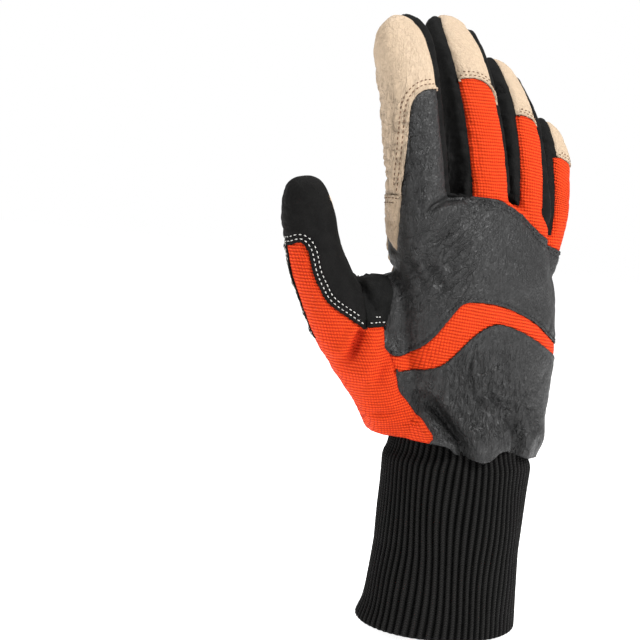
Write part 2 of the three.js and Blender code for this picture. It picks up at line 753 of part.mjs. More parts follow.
const belowHem = slab([...seamPoints(HEM_LINE), corner(0.7, -0.3), corner(-0.7, -0.3)], -FAR, FAR, 0);
let left = outer.subtract(inner).subtract(belowHem);
for (const [name, region, colour] of panels) {
  addPiece(name, largestBody(left.intersect(region(0))), colour, 0.6);
  left = left.subtract(region(SEAM_GAP));
}
addPiece("palm_leather", largestBody(left), CREAM_LEATHER, 0.6);
addPiece("knit_cuff", cuffSolid(), 0x2a2a2c, 0.9);
export default glove;
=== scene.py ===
"""A chainsaw work glove for the right hand, dressed in leather, rib fabric and knit round its CAD frame."""

import math

import bpy
import numpy as np
from mathutils import Matrix, Vector
from mathutils.bvhtree import BVHTree
from mathutils.kdtree import KDTree


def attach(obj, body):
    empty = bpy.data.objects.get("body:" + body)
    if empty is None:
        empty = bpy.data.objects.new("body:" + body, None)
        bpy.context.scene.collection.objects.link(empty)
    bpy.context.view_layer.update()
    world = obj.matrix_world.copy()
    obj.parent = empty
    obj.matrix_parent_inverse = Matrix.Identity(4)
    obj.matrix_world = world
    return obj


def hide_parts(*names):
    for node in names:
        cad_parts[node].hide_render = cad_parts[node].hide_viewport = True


bl_info = {
    "name": "Chainsaw work glove",
    "version": (1, 0, 0),
    "blender": (4, 5, 0),
    "location": "View3D > Sidebar > Glove",
    "description": "Builds a leather and rib fabric work glove with a rib-knit cuff",
    "category": "Object",
}

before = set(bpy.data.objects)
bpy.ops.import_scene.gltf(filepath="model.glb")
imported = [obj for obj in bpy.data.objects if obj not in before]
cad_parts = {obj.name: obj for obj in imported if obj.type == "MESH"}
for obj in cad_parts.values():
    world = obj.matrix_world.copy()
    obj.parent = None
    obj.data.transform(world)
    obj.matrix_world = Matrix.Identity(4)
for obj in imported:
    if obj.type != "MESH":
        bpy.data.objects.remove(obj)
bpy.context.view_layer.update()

# The skin is worked out in millimetres and turned into metres when a mesh is made.
MM = 0.001

# Driving sizes of the hand, fingers and thumb, as in the part's source
CUFF_LENGTH = 92.0
CUFF_WIDTH = 76.0
CUFF_DEPTH = 67.0
HAND_LENGTH = 118.0
HAND_WIDTH = 99.0
HAND_DEPTH = 60.0
HEM_HEIGHT = 82.0
FINGER_LENGTH = 131.0
FINGER_WIDTH = 27.6
FINGER_DEPTH = 29.0
THUMB_WIDTH = 30.0
THUMB_DEPTH = 27.0
THUMB_REACH = 102.0

# Angles of the seams round a finger in degrees, from the side away from the thumb over the back and on.
# A pair holds the angle at the root and the one at the tip.
STRIP_ANGLE = 42
RING_ROOT_ANGLE = 98
RING_FABRIC_ANGLES = (146, 130)
LITTLE_FABRIC_ANGLES = (108, 136)
INDEX_SEAM_ANGLES = (175, 110)
LITTLE_SEAM_ANGLE = -6

# The thumb's back lies between these angles, and wraps by some millimetres over the tip, which rounds off
# from a share of the thumb's length
THUMB_SEAM_ANGLES = (8, 205)
THUMB_TIP_WRAP = 3.5
THUMB_TIP_START = 0.67

# Depths along Y in millimetres at which seams end: FAR lies beyond the glove on both sides. The thumb
# cover's edge moves by its slant for each millimetre below the top of the tongue, a share of the hand's
# length.
FAR = 60
BACK_SEAM_DEPTH = 3
KNUCKLE_DEPTH = -18
BAND_DEPTH = -13
BAND_EDGE_DEPTH = -6
COVER_EDGE_DEPTH = 8
COVER_EDGE_SLANT = 0.15
TONGUE_TOP = 0.785
GUSSET_DEPTH = 9
SIDE_PALM_DEPTH = 6

# Sections of the hand: up, across, depth, half width, half thickness, arch and slope
HAND_SECTIONS = np.array([
    (0.0, 0.01, 0.0, 0.384, 0.565, 0.0, 0.0),
    (0.14, 0.022, -0.015, 0.405, 0.51, 0.03, 0.0),
    (0.36, 0.01, -0.05, 0.46, 0.45, 0.07, 0.0),
    (0.62, -0.025, -0.11, 0.485, 0.375, 0.12, 0.08),
    (0.84, -0.068, -0.16, 0.472, 0.31, 0.15, 0.2),
    (0.97, -0.085, -0.17, 0.46, 0.25, 0.16, 0.3),
    (1.04, -0.083, -0.19, 0.43, 0.17, 0.16, 0.35),
])

# Fingers from the index to the little one. Lengths and widths are shares of the driving sizes.
FINGER_COLUMNS = ("across", "depth", "up", "length", "splay", "turn", "knuckle", "middle",
                  "end", "width", "tip_width", "thick", "tip_thick", "root", "root_span", "waist")
FINGERS = [dict(zip(FINGER_COLUMNS, row)) for row in (
    (-0.388, -0.09, 0.62, 0.99, -12, -10, 4, 5, 5, 1.014, 0.957, 1.14, 0.86, 0.78, 0.22, 0.13),
    (-0.126, -0.167, 0.729, 1.0, -4, -4, 18, 11, 8, 1.0, 0.94, 1.0, 0.79, 0.78, 0.22, 0.03),
    (0.125, -0.133, 0.695, 0.908, 3.6, 6, 19, 11, 8, 0.942, 0.84, 0.966, 0.66, 0.78, 0.22, 0.0),
    (0.275, 0.0, 0.61, 0.765, 16.5, 12, 14, 9, 6, 0.81, 0.8, 0.897, 0.69, 0.62, 0.55, 0.0),
)]
THUMB = 4

# Fingers lift off the hand by this angle in degrees, and bend at each joint from a share over a span
FINGER_LIFT = -3
FINGER_JOINTS = (("knuckle", 0.12, 0.28), ("middle", 0.38, 0.3), ("end", 0.66, 0.2))

# Sections of the thumb: across, depth, up, half width and half thickness
THUMB_SECTIONS = np.array([
    (-0.03, 0.06, 0.03, 0.78, 0.8),
    (-0.265, 0.133, 0.2, 0.74, 0.81),
    (-0.5, 0.15, 0.356, 0.6, 0.7),
    (-0.72, 0.167, 0.545, 0.5, 0.59),
    (-0.868, 0.15, 0.72, 0.44, 0.5),
    (-0.94, 0.133, 0.87, 0.41, 0.44),
    (-0.98, 0.117, 0.975, 0.33, 0.34),
    (-1.005, 0.108, 1.038, 0.1, 0.12),
])
THUMB_BACK = np.array((-0.45, -0.89, 0.0)) / math.hypot(0.45, 0.89)

# Sections of the web between thumb and hand: across, depth, up, half width and half thickness
WEB_SECTIONS = np.array([
    (-0.45, 0.08, 0.32, 0.16, 0.26),
    (-0.53, 0.06, 0.5, 0.16, 0.2),
    (-0.6, 0.04, 0.63, 0.13, 0.15),
    (-0.62, 0.03, 0.685, 0.1, 0.06),
])
WEB_ACROSS = np.array((1.0, -0.3, 0.35))

# How square the sections are, and how many rows and sides each form has before it is fused
FINGER_SQUARENESS = 0.84
HAND_SQUARENESS = 0.78
PATH_ROWS = 97
COARSE_STEP = 3
FINGER_ROWS = 70
FINGER_SIDES = 72
HAND_ROWS = 80
HAND_SIDES = 160
WEB_ROWS = 30
WEB_SIDES = 48
TIP_RADIUS = 0.3
RELAX_ROUNDS = 14

# Seam lines seen from the back: across a share of HAND_WIDTH, up a share of HAND_LENGTH above the hem
KNUCKLE_SEAM = [(-0.38, 1.02), (-0.24, 1.035), (-0.1, 1.025), (0.06, 0.975), (0.18, 0.915), (0.4, 0.865),
                (0.65, 0.83)]
WAVE_TOP_SEAM = [(-0.58, 0.42), (-0.53, 0.39), (-0.465, 0.402), (-0.41, 0.466), (-0.333, 0.585),
                 (-0.27, 0.627), (-0.1, 0.624), (0.033, 0.598), (0.16, 0.56), (0.32, 0.5), (0.65, 0.42)]
WAVE_LOW_SEAM = [(-0.58, 0.32), (-0.51, 0.328), (-0.44, 0.34), (-0.368, 0.362), (-0.313, 0.407),
                 (-0.242, 0.483), (-0.17, 0.53), (-0.086, 0.551), (0.044, 0.53), (0.175, 0.492),
                 (0.326, 0.445), (0.65, 0.36)]
SIDE_SEAM = [(-0.56, 0.775), (-0.556, 0.636), (-0.575, 0.51), (-0.554, 0.415), (-0.512, 0.322),
             (-0.475, 0.25), (-0.393, 0.18), (-0.347, 0.064), (-0.34, -0.1)]
TONGUE_SEAM = [(-1.35, 0.6), (-1.1, 0.7), (-1.075, 0.765), (-1.045, 0.788), (-1.01, 0.755), (-0.976, 0.682),
               (-0.935, 0.627), (-0.894, 0.581), (-0.847, 0.551), (-0.758, 0.511), (-0.69, 0.48)]
THUMB_SEAM = [(-0.2, -0.1), (-0.3, 0.2), (-0.325, 0.32), (-0.36, 0.466), (-0.385, 0.576), (-0.435, 0.636),
              (-0.585, 0.67), (-0.665, 0.687), (-0.69, 0.76), (-0.77, 0.95), (-0.9, 1.3)]
SIDE_PALM_SEAM = [(-0.3, -0.1), (-0.31, 0.0), (-0.395, 0.1), (-0.59, 0.27), (-0.75, 0.4)]
PATCH_TOP_SEAM = [(-0.75, 1.0), (-0.6, 1.005), (-0.45, 0.985), (-0.25, 0.966), (0.0, 0.924), (0.33, 0.864),
                  (0.65, 0.8)]
HEM_LINE = [(-0.7, 0.03), (-0.34, 0.06), (-0.23, 0.035), (-0.12, 0.01), (0.01, 0.055), (0.1, 0.035),
            (0.26, 0.02), (0.7, 0.02)]

# Gaps between fingers: where the bottom lies across and up, and between which depths. The strip covers the
# right side of one finger and the left side of the next, with its start and end along each and its angle on
# the back.
FINGER_GAPS = (
    dict(low=-0.45, high=-0.2, up=1.03, back=-24, front=-3,
         right_side=(0.41, 1.02, STRIP_ANGLE), left_side=(0.285, 0.99, 180 - STRIP_ANGLE)),
    dict(low=-0.1, high=0.12, up=1.02, back=-24, front=-3,
         right_side=(0.25, 0.93, STRIP_ANGLE), left_side=(0.31, 0.99, (136, 120))),
    dict(low=0.2, high=0.4, up=0.94, back=-20, front=3,
         right_side=(0.23, 0.92, (RING_ROOT_ANGLE, STRIP_ANGLE - 6)), left_side=(0.36, 1.02, (102, 138))),
)
STRIP_CORNER = 3.0

# Where creases cross each finger and the thumb, as shares of their length
FINGER_CREASES = ((0.44, 0.47, 0.7, 0.73), (0.42, 0.45, 0.68, 0.71), (0.43, 0.46, 0.69), (0.45, 0.48, 0.7),
                  (0.62, 0.66, 0.7))

# Where the back's leather and fabric end along each finger, and the fabric's wedges: finger, the angles on
# both sides, its start and how round the corner beside the strip is
BACK_ENDS = (0.724, 0.68, 0.67, 0.75)
FABRIC_WEDGES = (
    (1, (STRIP_ANGLE, 180 - STRIP_ANGLE), 0.15, 13.0),
    (2, ((RING_ROOT_ANGLE, STRIP_ANGLE), RING_FABRIC_ANGLES), 0.15, 12.0),
    (3, (LITTLE_SEAM_ANGLE, LITTLE_FABRIC_ANGLES), 0.2, 12.0),
)

# Full places on the sides of the hand, below the little finger and at the thumb's root: across, depth and
# up, then the reach and the rise in millimetres
FULL_PLACES = (
    ((0.47, -0.1, 0.7), (18.0, 26.0, 22.0), 2.6),
    ((-0.33, 0.29, 0.05), (20.0, 20.0, 18.0), 2.4),
)

# The cuff's sections: up, half width and half thickness
CUFF_SECTIONS = np.array([
    (0.0, 1.08, 0.97),
    (0.4, 0.985, 0.94),
    (0.7, 1.0, 0.95),
    (0.86, 1.015, 0.965),
    (0.895, 0.955, 0.935),
    (1.0, 0.93, 0.86),
])

# Folds of the leather and fabric: depth and width in millimetres, the shares of its length over which a fold
# fades in and out, and its points across and up, as on the seams. A raised fold has a depth below 0.
BACK_FOLDS = (
    (4.6, 2.7, 0.4, 0.0, ((-0.41, 0.285), (-0.366, 0.225), (-0.317, 0.168), (-0.27, 0.12), (-0.23, 0.084),
     (-0.2, 0.02))),
    (-1.9, 4.6, 0.3, 0.0, ((-0.4, 0.19), (-0.355, 0.13), (-0.3, 0.04))),
    (-1.9, 9.0, 0.5, 0.0, ((-0.2, 0.26), (-0.15, 0.13), (-0.1, 0.0))),
    (-0.9, 6.0, 0.4, 0.4, ((-0.3, 0.36), (-0.27, 0.26), (-0.21, 0.17))),
    (1.4, 1.7, 0.3, 0.3, ((-0.143, 0.292), (-0.036, 0.249), (0.1, 0.216))),
    (-0.7, 2.8, 0.3, 0.3, ((-0.1, 0.32), (0.02, 0.275), (0.15, 0.24))),
    (2.6, 3.0, 0.5, 0.0, ((-0.01, 0.219), (0.05, 0.17), (0.078, 0.12), (0.09, 0.03))),
    (-1.3, 4.0, 0.3, 0.0, ((0.19, 0.14), (0.17, 0.02))),
    (1.2, 1.3, 0.3, 0.2, ((-0.208, 0.46), (-0.216, 0.337), (-0.156, 0.255), (-0.08, 0.17))),
    (0.6, 1.2, 0.3, 0.3, ((-0.297, 0.37), (-0.292, 0.264), (-0.229, 0.178), (-0.18, 0.08))),
    (0.55, 1.2, 0.3, 0.3, ((-0.25, 0.4), (-0.25, 0.29), (-0.19, 0.19), (-0.14, 0.08))),
    (0.5, 1.2, 0.3, 0.3, ((-0.17, 0.42), (-0.175, 0.33), (-0.11, 0.25))),
    (1.6, 1.4, 0.1, 0.3, ((-0.3, 1.03), (-0.4, 1.012), (-0.488, 0.981), (-0.55, 0.92))),
    (-0.8, 3.0, 0.2, 0.4, ((-0.3, 1.0), (-0.42, 0.975), (-0.52, 0.92))),
    (0.7, 1.7, 0.3, 0.3, ((-0.52, 0.83), (-0.44, 0.87), (-0.35, 0.91))),
    (1.1, 2.4, 0.3, 0.3, ((-0.53, 0.81), (-0.45, 0.73), (-0.36, 0.64))),
    (0.5, 1.6, 0.3, 0.3, ((-0.44, 0.8), (-0.4, 0.77), (-0.33, 0.72))),
    (1.1, 1.7, 0.3, 0.3, ((-0.57, 0.77), (-0.52, 0.72), (-0.45, 0.66))),
    (0.5, 1.7, 0.4, 0.4, ((-0.2, 0.86), (-0.05, 0.81), (0.12, 0.79))),
    (-0.7, 5.0, 0.4, 0.4, ((-0.25, 0.79), (-0.02, 0.73), (0.25, 0.7))),
    (3.0, 2.1, 0.15, 0.5, ((-0.703, 0.49), (-0.714, 0.44), (-0.722, 0.39), (-0.726, 0.33))),
    (-2.5, 4.2, 0.2, 0.4, ((-0.655, 0.49), (-0.636, 0.403), (-0.647, 0.334), (-0.64, 0.25))),
    (-1.0, 3.6, 0.4, 0.4, ((-0.78, 0.45), (-0.785, 0.36), (-0.76, 0.28))),
    (0.9, 2.4, 0.4, 0.4, ((-0.58, 0.4), (-0.585, 0.31), (-0.56, 0.22))),
    (0.8, 1.7, 0.2, 0.3, ((-0.6, 0.1), (-0.52, 0.15), (-0.43, 0.16))),
)

# Sewn lines and creases of the palm, as above
PALM_LINES = (
    (0.85, 1.9, 0.05, 0.05, ((0.43, 0.74), (-0.17, 0.84), (-0.57, 0.84))),
    (0.85, 1.9, 0.05, 0.05, ((0.43, 0.51), (-0.05, 0.593), (-0.43, 0.66))),
    (0.85, 1.9, 0.05, 0.05, ((0.4, 0.3), (0.01, 0.38), (-0.36, 0.45))),
    (0.85, 1.9, 0.05, 0.05, ((0.37, 0.135), (0.07, 0.135), (-0.3, 0.18))),
)
PALM_FOLDS = (
    (1.0, 1.9, 0.1, 0.5, ((-0.2, 1.12), (-0.24, 1.04), (-0.33, 0.99))),
    (1.0, 1.9, 0.1, 0.5, ((0.05, 1.1), (0.02, 1.02), (-0.06, 0.96))),
    (0.9, 1.8, 0.1, 0.5, ((0.28, 1.0), (0.26, 0.95), (0.18, 0.9))),
    (0.8, 1.6, 0.2, 0.4, ((-0.62, 0.69), (-0.5, 0.62), (-0.44, 0.5))),
    (0.8, 1.6, 0.2, 0.4, ((-0.63, 0.7), (-0.52, 0.73), (-0.42, 0.72))),
    (0.9, 1.8, 0.2, 0.4, ((-0.65, 0.68), (-0.6, 0.55), (-0.58, 0.42))),
    (0.9, 1.8, 0.2, 0.4, ((-0.68, 0.69), (-0.7, 0.58), (-0.72, 0.47))),
    (-1.0, 4.0, 0.4, 0.4, ((-0.6, 0.6), (-0.5, 0.45), (-0.4, 0.33))),
)

# Fine wrinkles: where, depth in millimetres, direction in degrees, length, width and seed
WRINKLES = (
    ("lower back", 0.8, 98.0, 12.0, 2.6, 11),
    ("above the cuff", 0.7, -25.0, 9.0, 2.5, 17),
    ("beside the thumb", 0.45, 45.0, 10.0, 2.7, 19),
    ("index root", 0.4, -15.0, 9.0, 2.8, 23),
    ("back", 0.22, 120.0, 10.0, 3.4, 27),
    ("palm", 0.35, 80.0, 14.0, 4.0, 29),
    ("index side", 0.5, 5.0, 7.0, 2.6, 33),
    ("index side", 0.5, 95.0, 16.0, 3.0, 35),
    ("off the back", 0.25, 20.0, 8.0, 2.8, 39),
)
# The look columns: how deep the folds are, for painted shade in them, and where crinkles run upright and
# slanting
LOOK_COLUMNS = ("hollow", "upright", "slanting")

# Panels in the order in which they overlap, and the labels of skin in no panel yet and below the hem
PIECES = ("back_upper", "knuckle_fabric", "side_index_middle", "side_middle_ring", "side_ring_little",
          "thumb_cover", "thumb_gusset", "thumb_side", "back_wave", "back_lower", "thumb_front",
          "palm_patch", "palm_leather")
OPEN = -1
HEM = -2
SEAM_SNAP = 0.1

# How far the edges of a panel rise over a neighbour or sink beside it, and over which width, in millimetres
SUNK = dict(rise=-0.8, width=1.5)
OVER = dict(rise=0.75, width=7.0)
UNDER = dict(rise=-0.25, width=1.0)
TURNED = dict(rise=-0.5, width=1.2)

# Panels that lie on top of a neighbour
ON_TOP = {
    ("back_upper", "knuckle_fabric"), ("back_upper", "back_wave"), ("back_lower", "back_wave"),
    ("thumb_cover", "thumb_side"), ("thumb_gusset", "thumb_side"), ("palm_patch", "palm_leather"),
    ("palm_leather", "back_upper"), ("palm_leather", "knuckle_fabric"),
}

# Rows of stitches: thread, panel, the neighbours along whose seam they run, and their distances from it
STITCH_ROWS = (
    ("brown", "palm_leather", ("back_upper",), (2.3, 4.3)),
    ("brown", "palm_leather", ("knuckle_fabric",), (1.5, 3.4)),
    ("brown", "palm_patch", ("palm_leather",), (1.5, 3.6)),
    ("brown", "palm_patch", ("thumb_front",), (1.4, 3.4)),
    ("brown", "palm_leather", ("thumb_front",), (1.4, 3.4)),
    ("black", "back_upper", ("knuckle_fabric",), (1.3, 3.2)),
    ("black", "back_upper", ("back_wave",), (1.6,)),
    ("white", "thumb_cover", ("thumb_side",), (1.6, 3.6)),
    ("white", "thumb_gusset", ("thumb_side",), (2.0, 4.3)),
)
STITCH_RISE = 0.12
STITCH_UNEVEN = 0.15
LINE_ROUNDS = 10
SHORTEST_LINE = 8

# The leathers' looks: grain is a scale; crease and dark are how much painted shade darkens the creases and
# the folds, and fold is the depth in millimetres of a fold under the full painted shade
LEATHERS = {
    "cream_leather": dict(grain=1100.0, shine=0.58, gloss=0.34, mottle=0.09, crease=0.9, dark=0.75, fold=1.9,
                          relief=0.3),
    "black_leather": dict(grain=900.0, shine=0.5, gloss=0.42, mottle=0.5, crease=0.6, dark=1.0, fold=1.2,
                          relief=0.45),
}
TEXTILES = {
    "thumb_cover": dict(weave=2400.0, roughness=0.72, uneven=0.5),
    "black_textile": dict(weave=1700.0, roughness=0.75, uneven=0.7),
}
WARP_PITCH = 1.25
LOOP_PITCH = 1.2

# The cuff's wall in millimetres, and how finely it is divided
CUFF_WALL = 2.4
CUFF_ROWS = 131
CUFF_SIDES_PER_RIB = 8
CUFF_INNER_STEP = 4
CUFF_FLARE_TURN = math.radians(145)
CUFF_LOW_TURN = math.radians(260)
CUFF_INNER_ROW = 10
RIB_FULLNESS = 0.75

# The camera and the studio: metres, degrees, and pixels of a picture with 640 of them on each side
CAMERA_AZIMUTH = -35.0
CAMERA_ELEVATION = 4.0
CAMERA_ROLL = 6.5
CAMERA_DISTANCE = 0.72
CAMERA_TARGET = (0.0, 0.0, 0.15)
TARGET_PIXEL = (474.0, 312.0)
PICTURE_SIZE = 640.0
PIXEL_SIZE = 0.00048
SENSOR_WIDTH = 36.0
FLOOR_DROP = 0.006
FLOOR_REACH = 6.0
FLOOR_GLOW = 0.9
FLOOR_GLOW_FRONT = 0.3
STUDIO_FRONT = 0.26
STUDIO_BEHIND = 1.0

# Lights: name, how far back, right and up of the glove's middle they stand, their size and their power
LIGHTS = (
    ("key light", (0.6, 0.75, 0.55), (0.35, 0.5), 16.0),
    ("left light", (0.45, -0.95, 0.35), (0.35, 0.6), 4.0),
    ("top light", (-0.1, -0.1, 1.0), (0.5, 0.5), 6.0),
)


# Sizes and colours a user would change

def length_setting(name, description, default, least, most):
    return bpy.props.FloatProperty(name=name, description=description, default=default, min=least, max=most,
                                   unit="LENGTH", precision=5)


def colour_setting(name, description, default):
    return bpy.props.FloatVectorProperty(name=name, description=description, default=default, size=3, min=0,
                                         max=1, subtype="COLOR")


class GloveSizes(bpy.types.PropertyGroup):
    """Sizes of the dressed glove."""

    skin_step: length_setting(
        "Skin step", "Distance between the points of the leather and fabric skin", 0.0008, 0.0005, 0.003)
    leather_thickness: length_setting(
        "Leather thickness", "Thickness of the leather and fabric panels", 0.0014, 0.0005, 0.003)
    rib_count: bpy.props.IntProperty(
        name="Cuff ribs", description="Number of knit ribs round the cuff", default=68, min=20, max=120)
    rib_depth: length_setting(
        "Rib depth", "Depth of the grooves between the cuff's ribs", 0.0015, 0.0002, 0.003)
    fabric_rib_pitch: length_setting(
        "Fabric rib pitch", "Distance between the ribs of the orange fabric", 0.00148, 0.0005, 0.005)
    stitch_pitch: length_setting(
        "Stitch pitch", "Distance from one stitch to the next", 0.0023, 0.001, 0.006)
    stitch_length: length_setting(
        "Stitch length", "Length of thread seen in one stitch", 0.0016, 0.0005, 0.005)
    thread_width: length_setting(
        "Thread width", "Width of the sewing thread", 0.00055, 0.0002, 0.002)


class GloveColours(bpy.types.PropertyGroup):
    """Colours of the glove's leathers, fabrics, knit and threads."""

    cream_leather: colour_setting("Cream leather", "Colour of palm and finger leather", (0.53, 0.402, 0.28))
    black_leather: colour_setting(
        "Black leather", "Colour of the leather panels on the back", (0.0165, 0.0165, 0.0167))
    thumb_cover: colour_setting(
        "Thumb cover", "Colour of the soft black cover on the thumb", (0.0075, 0.0072, 0.007))
    black_textile: colour_setting(
        "Black textile", "Colour of the stretch strips between the fingers", (0.008, 0.008, 0.0078))
    orange_fabric: colour_setting(
        "Orange fabric", "Colour of the ribbed fabric on the back and thumb", (0.76, 0.058, 0.009))
    black_knit: colour_setting("Black knit", "Colour of the rib-knit cuff", (0.0062, 0.0060, 0.0058))
    brown_thread: colour_setting(
        "Brown thread", "Colour of the thread in the cream leather", (0.16, 0.085, 0.045))
    white_thread: colour_setting(
        "White thread", "Colour of the thread on the thumb cover and the web", (0.6, 0.59, 0.56))
    black_thread: colour_setting(
        "Black thread", "Colour of the thread in the black leather", (0.012, 0.012, 0.013))


def sizes():
    return bpy.context.scene.glove_sizes


def colours():
    return bpy.context.scene.glove_colours


# Curves and lofts

def smooth_step(value):
    value = np.clip(value, 0.0, 1.0)
    return value * value * (3.0 - 2.0 * value)


def bell(distance, width):
    """1 in the middle, falling softly to nothing past the width."""
    return np.exp(-((distance / width) ** 2))


def round_end(position, start):
    past = np.clip((position - start) / (1.0 - start), 0.0, 1.0)
    return np.sqrt(np.clip(1.0 - past * past, 0.0, 1.0))


def unit(rows):
    return rows / np.maximum(np.linalg.norm(rows, axis=-1, keepdims=True), 1e-9)


def smoothed(rows, rounds):
    """Rows evened out between the first and the last one, which stay."""
    for _ in range(rounds):
        rows[1:-1] = 0.25 * (rows[:-2] + 2 * rows[1:-1] + rows[2:])
    return rows


def curve_through(rows, shares):
    """Points of a smooth curve through rows at shares of its length, from 0 to 1."""
    last = len(rows) - 1
    place = np.clip(shares, 0.0, 1.0) * last
    index = np.minimum(place.astype(int), last - 1)
    t = (place - index)[:, None]
    before = rows[np.maximum(index - 1, 0)]
    start = rows[index]
    end = rows[index + 1]
    after = rows[np.minimum(index + 2, last)]
    lead = (end - before) * 0.5
    trail = (after - start) * 0.5
    cubic = 2 * start - 2 * end + lead + trail
    square = -3 * start + 3 * end - 2 * lead - trail
    return ((cubic * t + square) * t + lead) * t + start


def on_hand(rows):
    """Points of x and z in millimetres, from shares of the hand's width and of its length above the hem."""
    return np.column_stack((rows[:, 0] * HAND_WIDTH, HEM_HEIGHT + rows[:, 1] * HAND_LENGTH))


def corners(*points):
    return on_hand(np.array(points, float))


def seam_points(seam, parts=5):
    """A seam as a smooth line of x and z in millimetres."""
    return on_hand(curve_through(np.array(seam, float), np.linspace(0, 1, (len(seam) - 1) * parts + 1)))


def hand_place(shares):
    """Points in millimetres, from shares of the hand's width, depth and length above the hem."""
    return np.array(shares) * (HAND_WIDTH, HAND_DEPTH, HAND_LENGTH) + (0.0, 0.0, HEM_HEIGHT)


def squared_round(angle, squareness):
    """Cosine and sine of a round section, which grows square as squareness falls below 1."""
    c, s = np.cos(angle), np.sin(angle)
    return np.sign(c) * np.abs(c) ** squareness, np.sign(s) * np.abs(s) ** squareness


def section_rings(centre, across, back, half_width, half_thick, squareness, sides):
    c, s = squared_round(-np.arange(sides) / sides * 2 * math.pi, squareness)
    sideways = across[:, None, :] * (half_width[:, None] * c)[:, :, None]
    upwards = back[:, None, :] * (half_thick[:, None] * s)[:, :, None]
    return centre[:, None, :] + sideways + upwards


def ring_faces(rows, sides, start=0, flip=False):
    """Quads between rings of points, the first ring from the point with the number start."""
    row, side = np.meshgrid(np.arange(rows - 1), np.arange(sides), indexing="ij")
    a = start + (row * sides + side).ravel()
    b = start + (row * sides + (side + 1) % sides).ravel()
    quads = np.column_stack((a, b, b + sides, a + sides))
    return quads[:, ::-1] if flip else quads


def closed_loft(rings):
    """Points and triangles of a closed skin over rings, with a fan at each end."""
    rows, sides = rings.shape[:2]
    points = np.concatenate((rings.reshape(-1, 3), rings[0].mean(0)[None], rings[-1].mean(0)[None]))
    quads = ring_faces(rows, sides)
    first = np.arange(sides)
    following = (first + 1) % sides
    top = (rows - 1) * sides
    low_hub = np.full(sides, rows * sides)
    return points, np.concatenate((
        quads[:, (0, 1, 2)],
        quads[:, (0, 2, 3)],
        np.column_stack((low_hub, following, first)),
        np.column_stack((low_hub + 1, top + first, top + following)),
    ))


def finger_path(finger):
    """Centres and axes along a finger, one row for each of its even steps."""
    share = np.linspace(0.0, 1.0, PATH_ROWS)
    splay = math.radians(finger["splay"])
    turn = math.radians(finger["turn"])
    straight = np.array((math.sin(splay), 0.0, math.cos(splay)))
    side = np.array((math.cos(splay), 0.0, -math.sin(splay)))
    outwards = np.array((0.0, -1.0, 0.0))
    across = side * math.cos(turn) - outwards * math.sin(turn)
    back = outwards * math.cos(turn) + side * math.sin(turn)
    bend = np.full(PATH_ROWS, float(FINGER_LIFT))
    for joint, start, span in FINGER_JOINTS:
        bend = bend + finger[joint] * smooth_step((share - start) / span)
    bend = np.radians(bend)[:, None]
    heading = straight * np.cos(bend) - back * np.sin(bend)
    length = finger["length"] * FINGER_LENGTH
    steps = 0.5 * (heading[1:] + heading[:-1]) * (length / (PATH_ROWS - 1))
    root = hand_place((finger["across"], finger["depth"], finger["up"]))
    centre = root + np.concatenate((np.zeros((1, 3)), np.cumsum(steps, axis=0)))
    tilted = back * np.cos(bend) + straight * np.sin(bend)
    return dict(share=share, centre=centre, heading=heading, across=np.tile(across, (PATH_ROWS, 1)),
                back=tilted, length=length)


def thumb_path():
    """Centres and axes along the thumb, with its width and thickness, which round off to the tip."""
    share = np.linspace(0.0, 1.0, PATH_ROWS)
    rows = curve_through(THUMB_SECTIONS, share)
    centre = rows[:, :3] * (THUMB_REACH, HAND_DEPTH, HAND_LENGTH) + (0.0, 0.0, HEM_HEIGHT)
    heading = unit(np.gradient(centre, axis=0))
    back = unit(THUMB_BACK - heading * (heading @ THUMB_BACK)[:, None])
    length = np.linalg.norm(np.diff(centre, axis=0), axis=1).sum()
    tip = np.searchsorted(share, THUMB_TIP_START)
    rows[tip:, 3:] = rows[tip, 3:] * np.maximum(round_end(share[tip:], share[tip]), 0.02)[:, None]
    return dict(share=share, centre=centre, heading=heading, across=np.cross(heading, back), back=back,
                length=length, width=rows[:, 3] * THUMB_WIDTH, thick=rows[:, 4] * THUMB_DEPTH)


def finger_loft(finger, path):
    """A finger from its narrow root over a waist to its round tip, with its rows closer towards the tip."""
    share = 1.0 - (1.0 - np.linspace(0.0, 1.0, FINGER_ROWS)) ** 2
    root = finger["root"] + (1 - finger["root"]) * smooth_step(share / finger["root_span"])
    waist = 1 - finger["waist"] * bell(share - 0.57, 0.2)
    width = root * (finger["width"] + (finger["tip_width"] - finger["width"]) * share)
    thick = root * waist * (finger["thick"] + (finger["tip_thick"] - finger["thick"]) * share)
    half_width = np.maximum(TIP_RADIUS, 0.5 * FINGER_WIDTH * width * round_end(share, 0.87))
    half_thick = np.maximum(TIP_RADIUS, 0.5 * FINGER_DEPTH * thick * round_end(share, 0.68))
    centre, across, back = (at_share(path, name, share) for name in ("centre", "across", "back"))
    return closed_loft(section_rings(centre, across, back, half_width, half_thick, FINGER_SQUARENESS,
                                     FINGER_SIDES))


def thumb_loft(path):
    return closed_loft(section_rings(path["centre"], path["across"], path["back"], path["width"],
                                     path["thick"], FINGER_SQUARENESS, FINGER_SIDES))


def hand_loft():
    """The hand, arched over the palm, whose top slopes down towards the little finger."""
    rows = curve_through(HAND_SECTIONS, np.linspace(0.0, 1.0, HAND_ROWS))
    up, across, depth, width, thick, arch, slope = rows.T[:, :, None]
    c, s = squared_round(np.arange(HAND_SIDES) / HAND_SIDES * 2 * math.pi, HAND_SQUARENESS)
    x = width * HAND_WIDTH * c
    fall = arch * HAND_DEPTH * np.where(c > 0, 1.2, 0.25) * c * c
    return closed_loft(np.stack((
        across * HAND_WIDTH + x,
        depth * HAND_DEPTH + thick * HAND_DEPTH * s + fall,
        HEM_HEIGHT + up * HAND_LENGTH - slope * np.maximum(0.0, x),
    ), axis=-1))


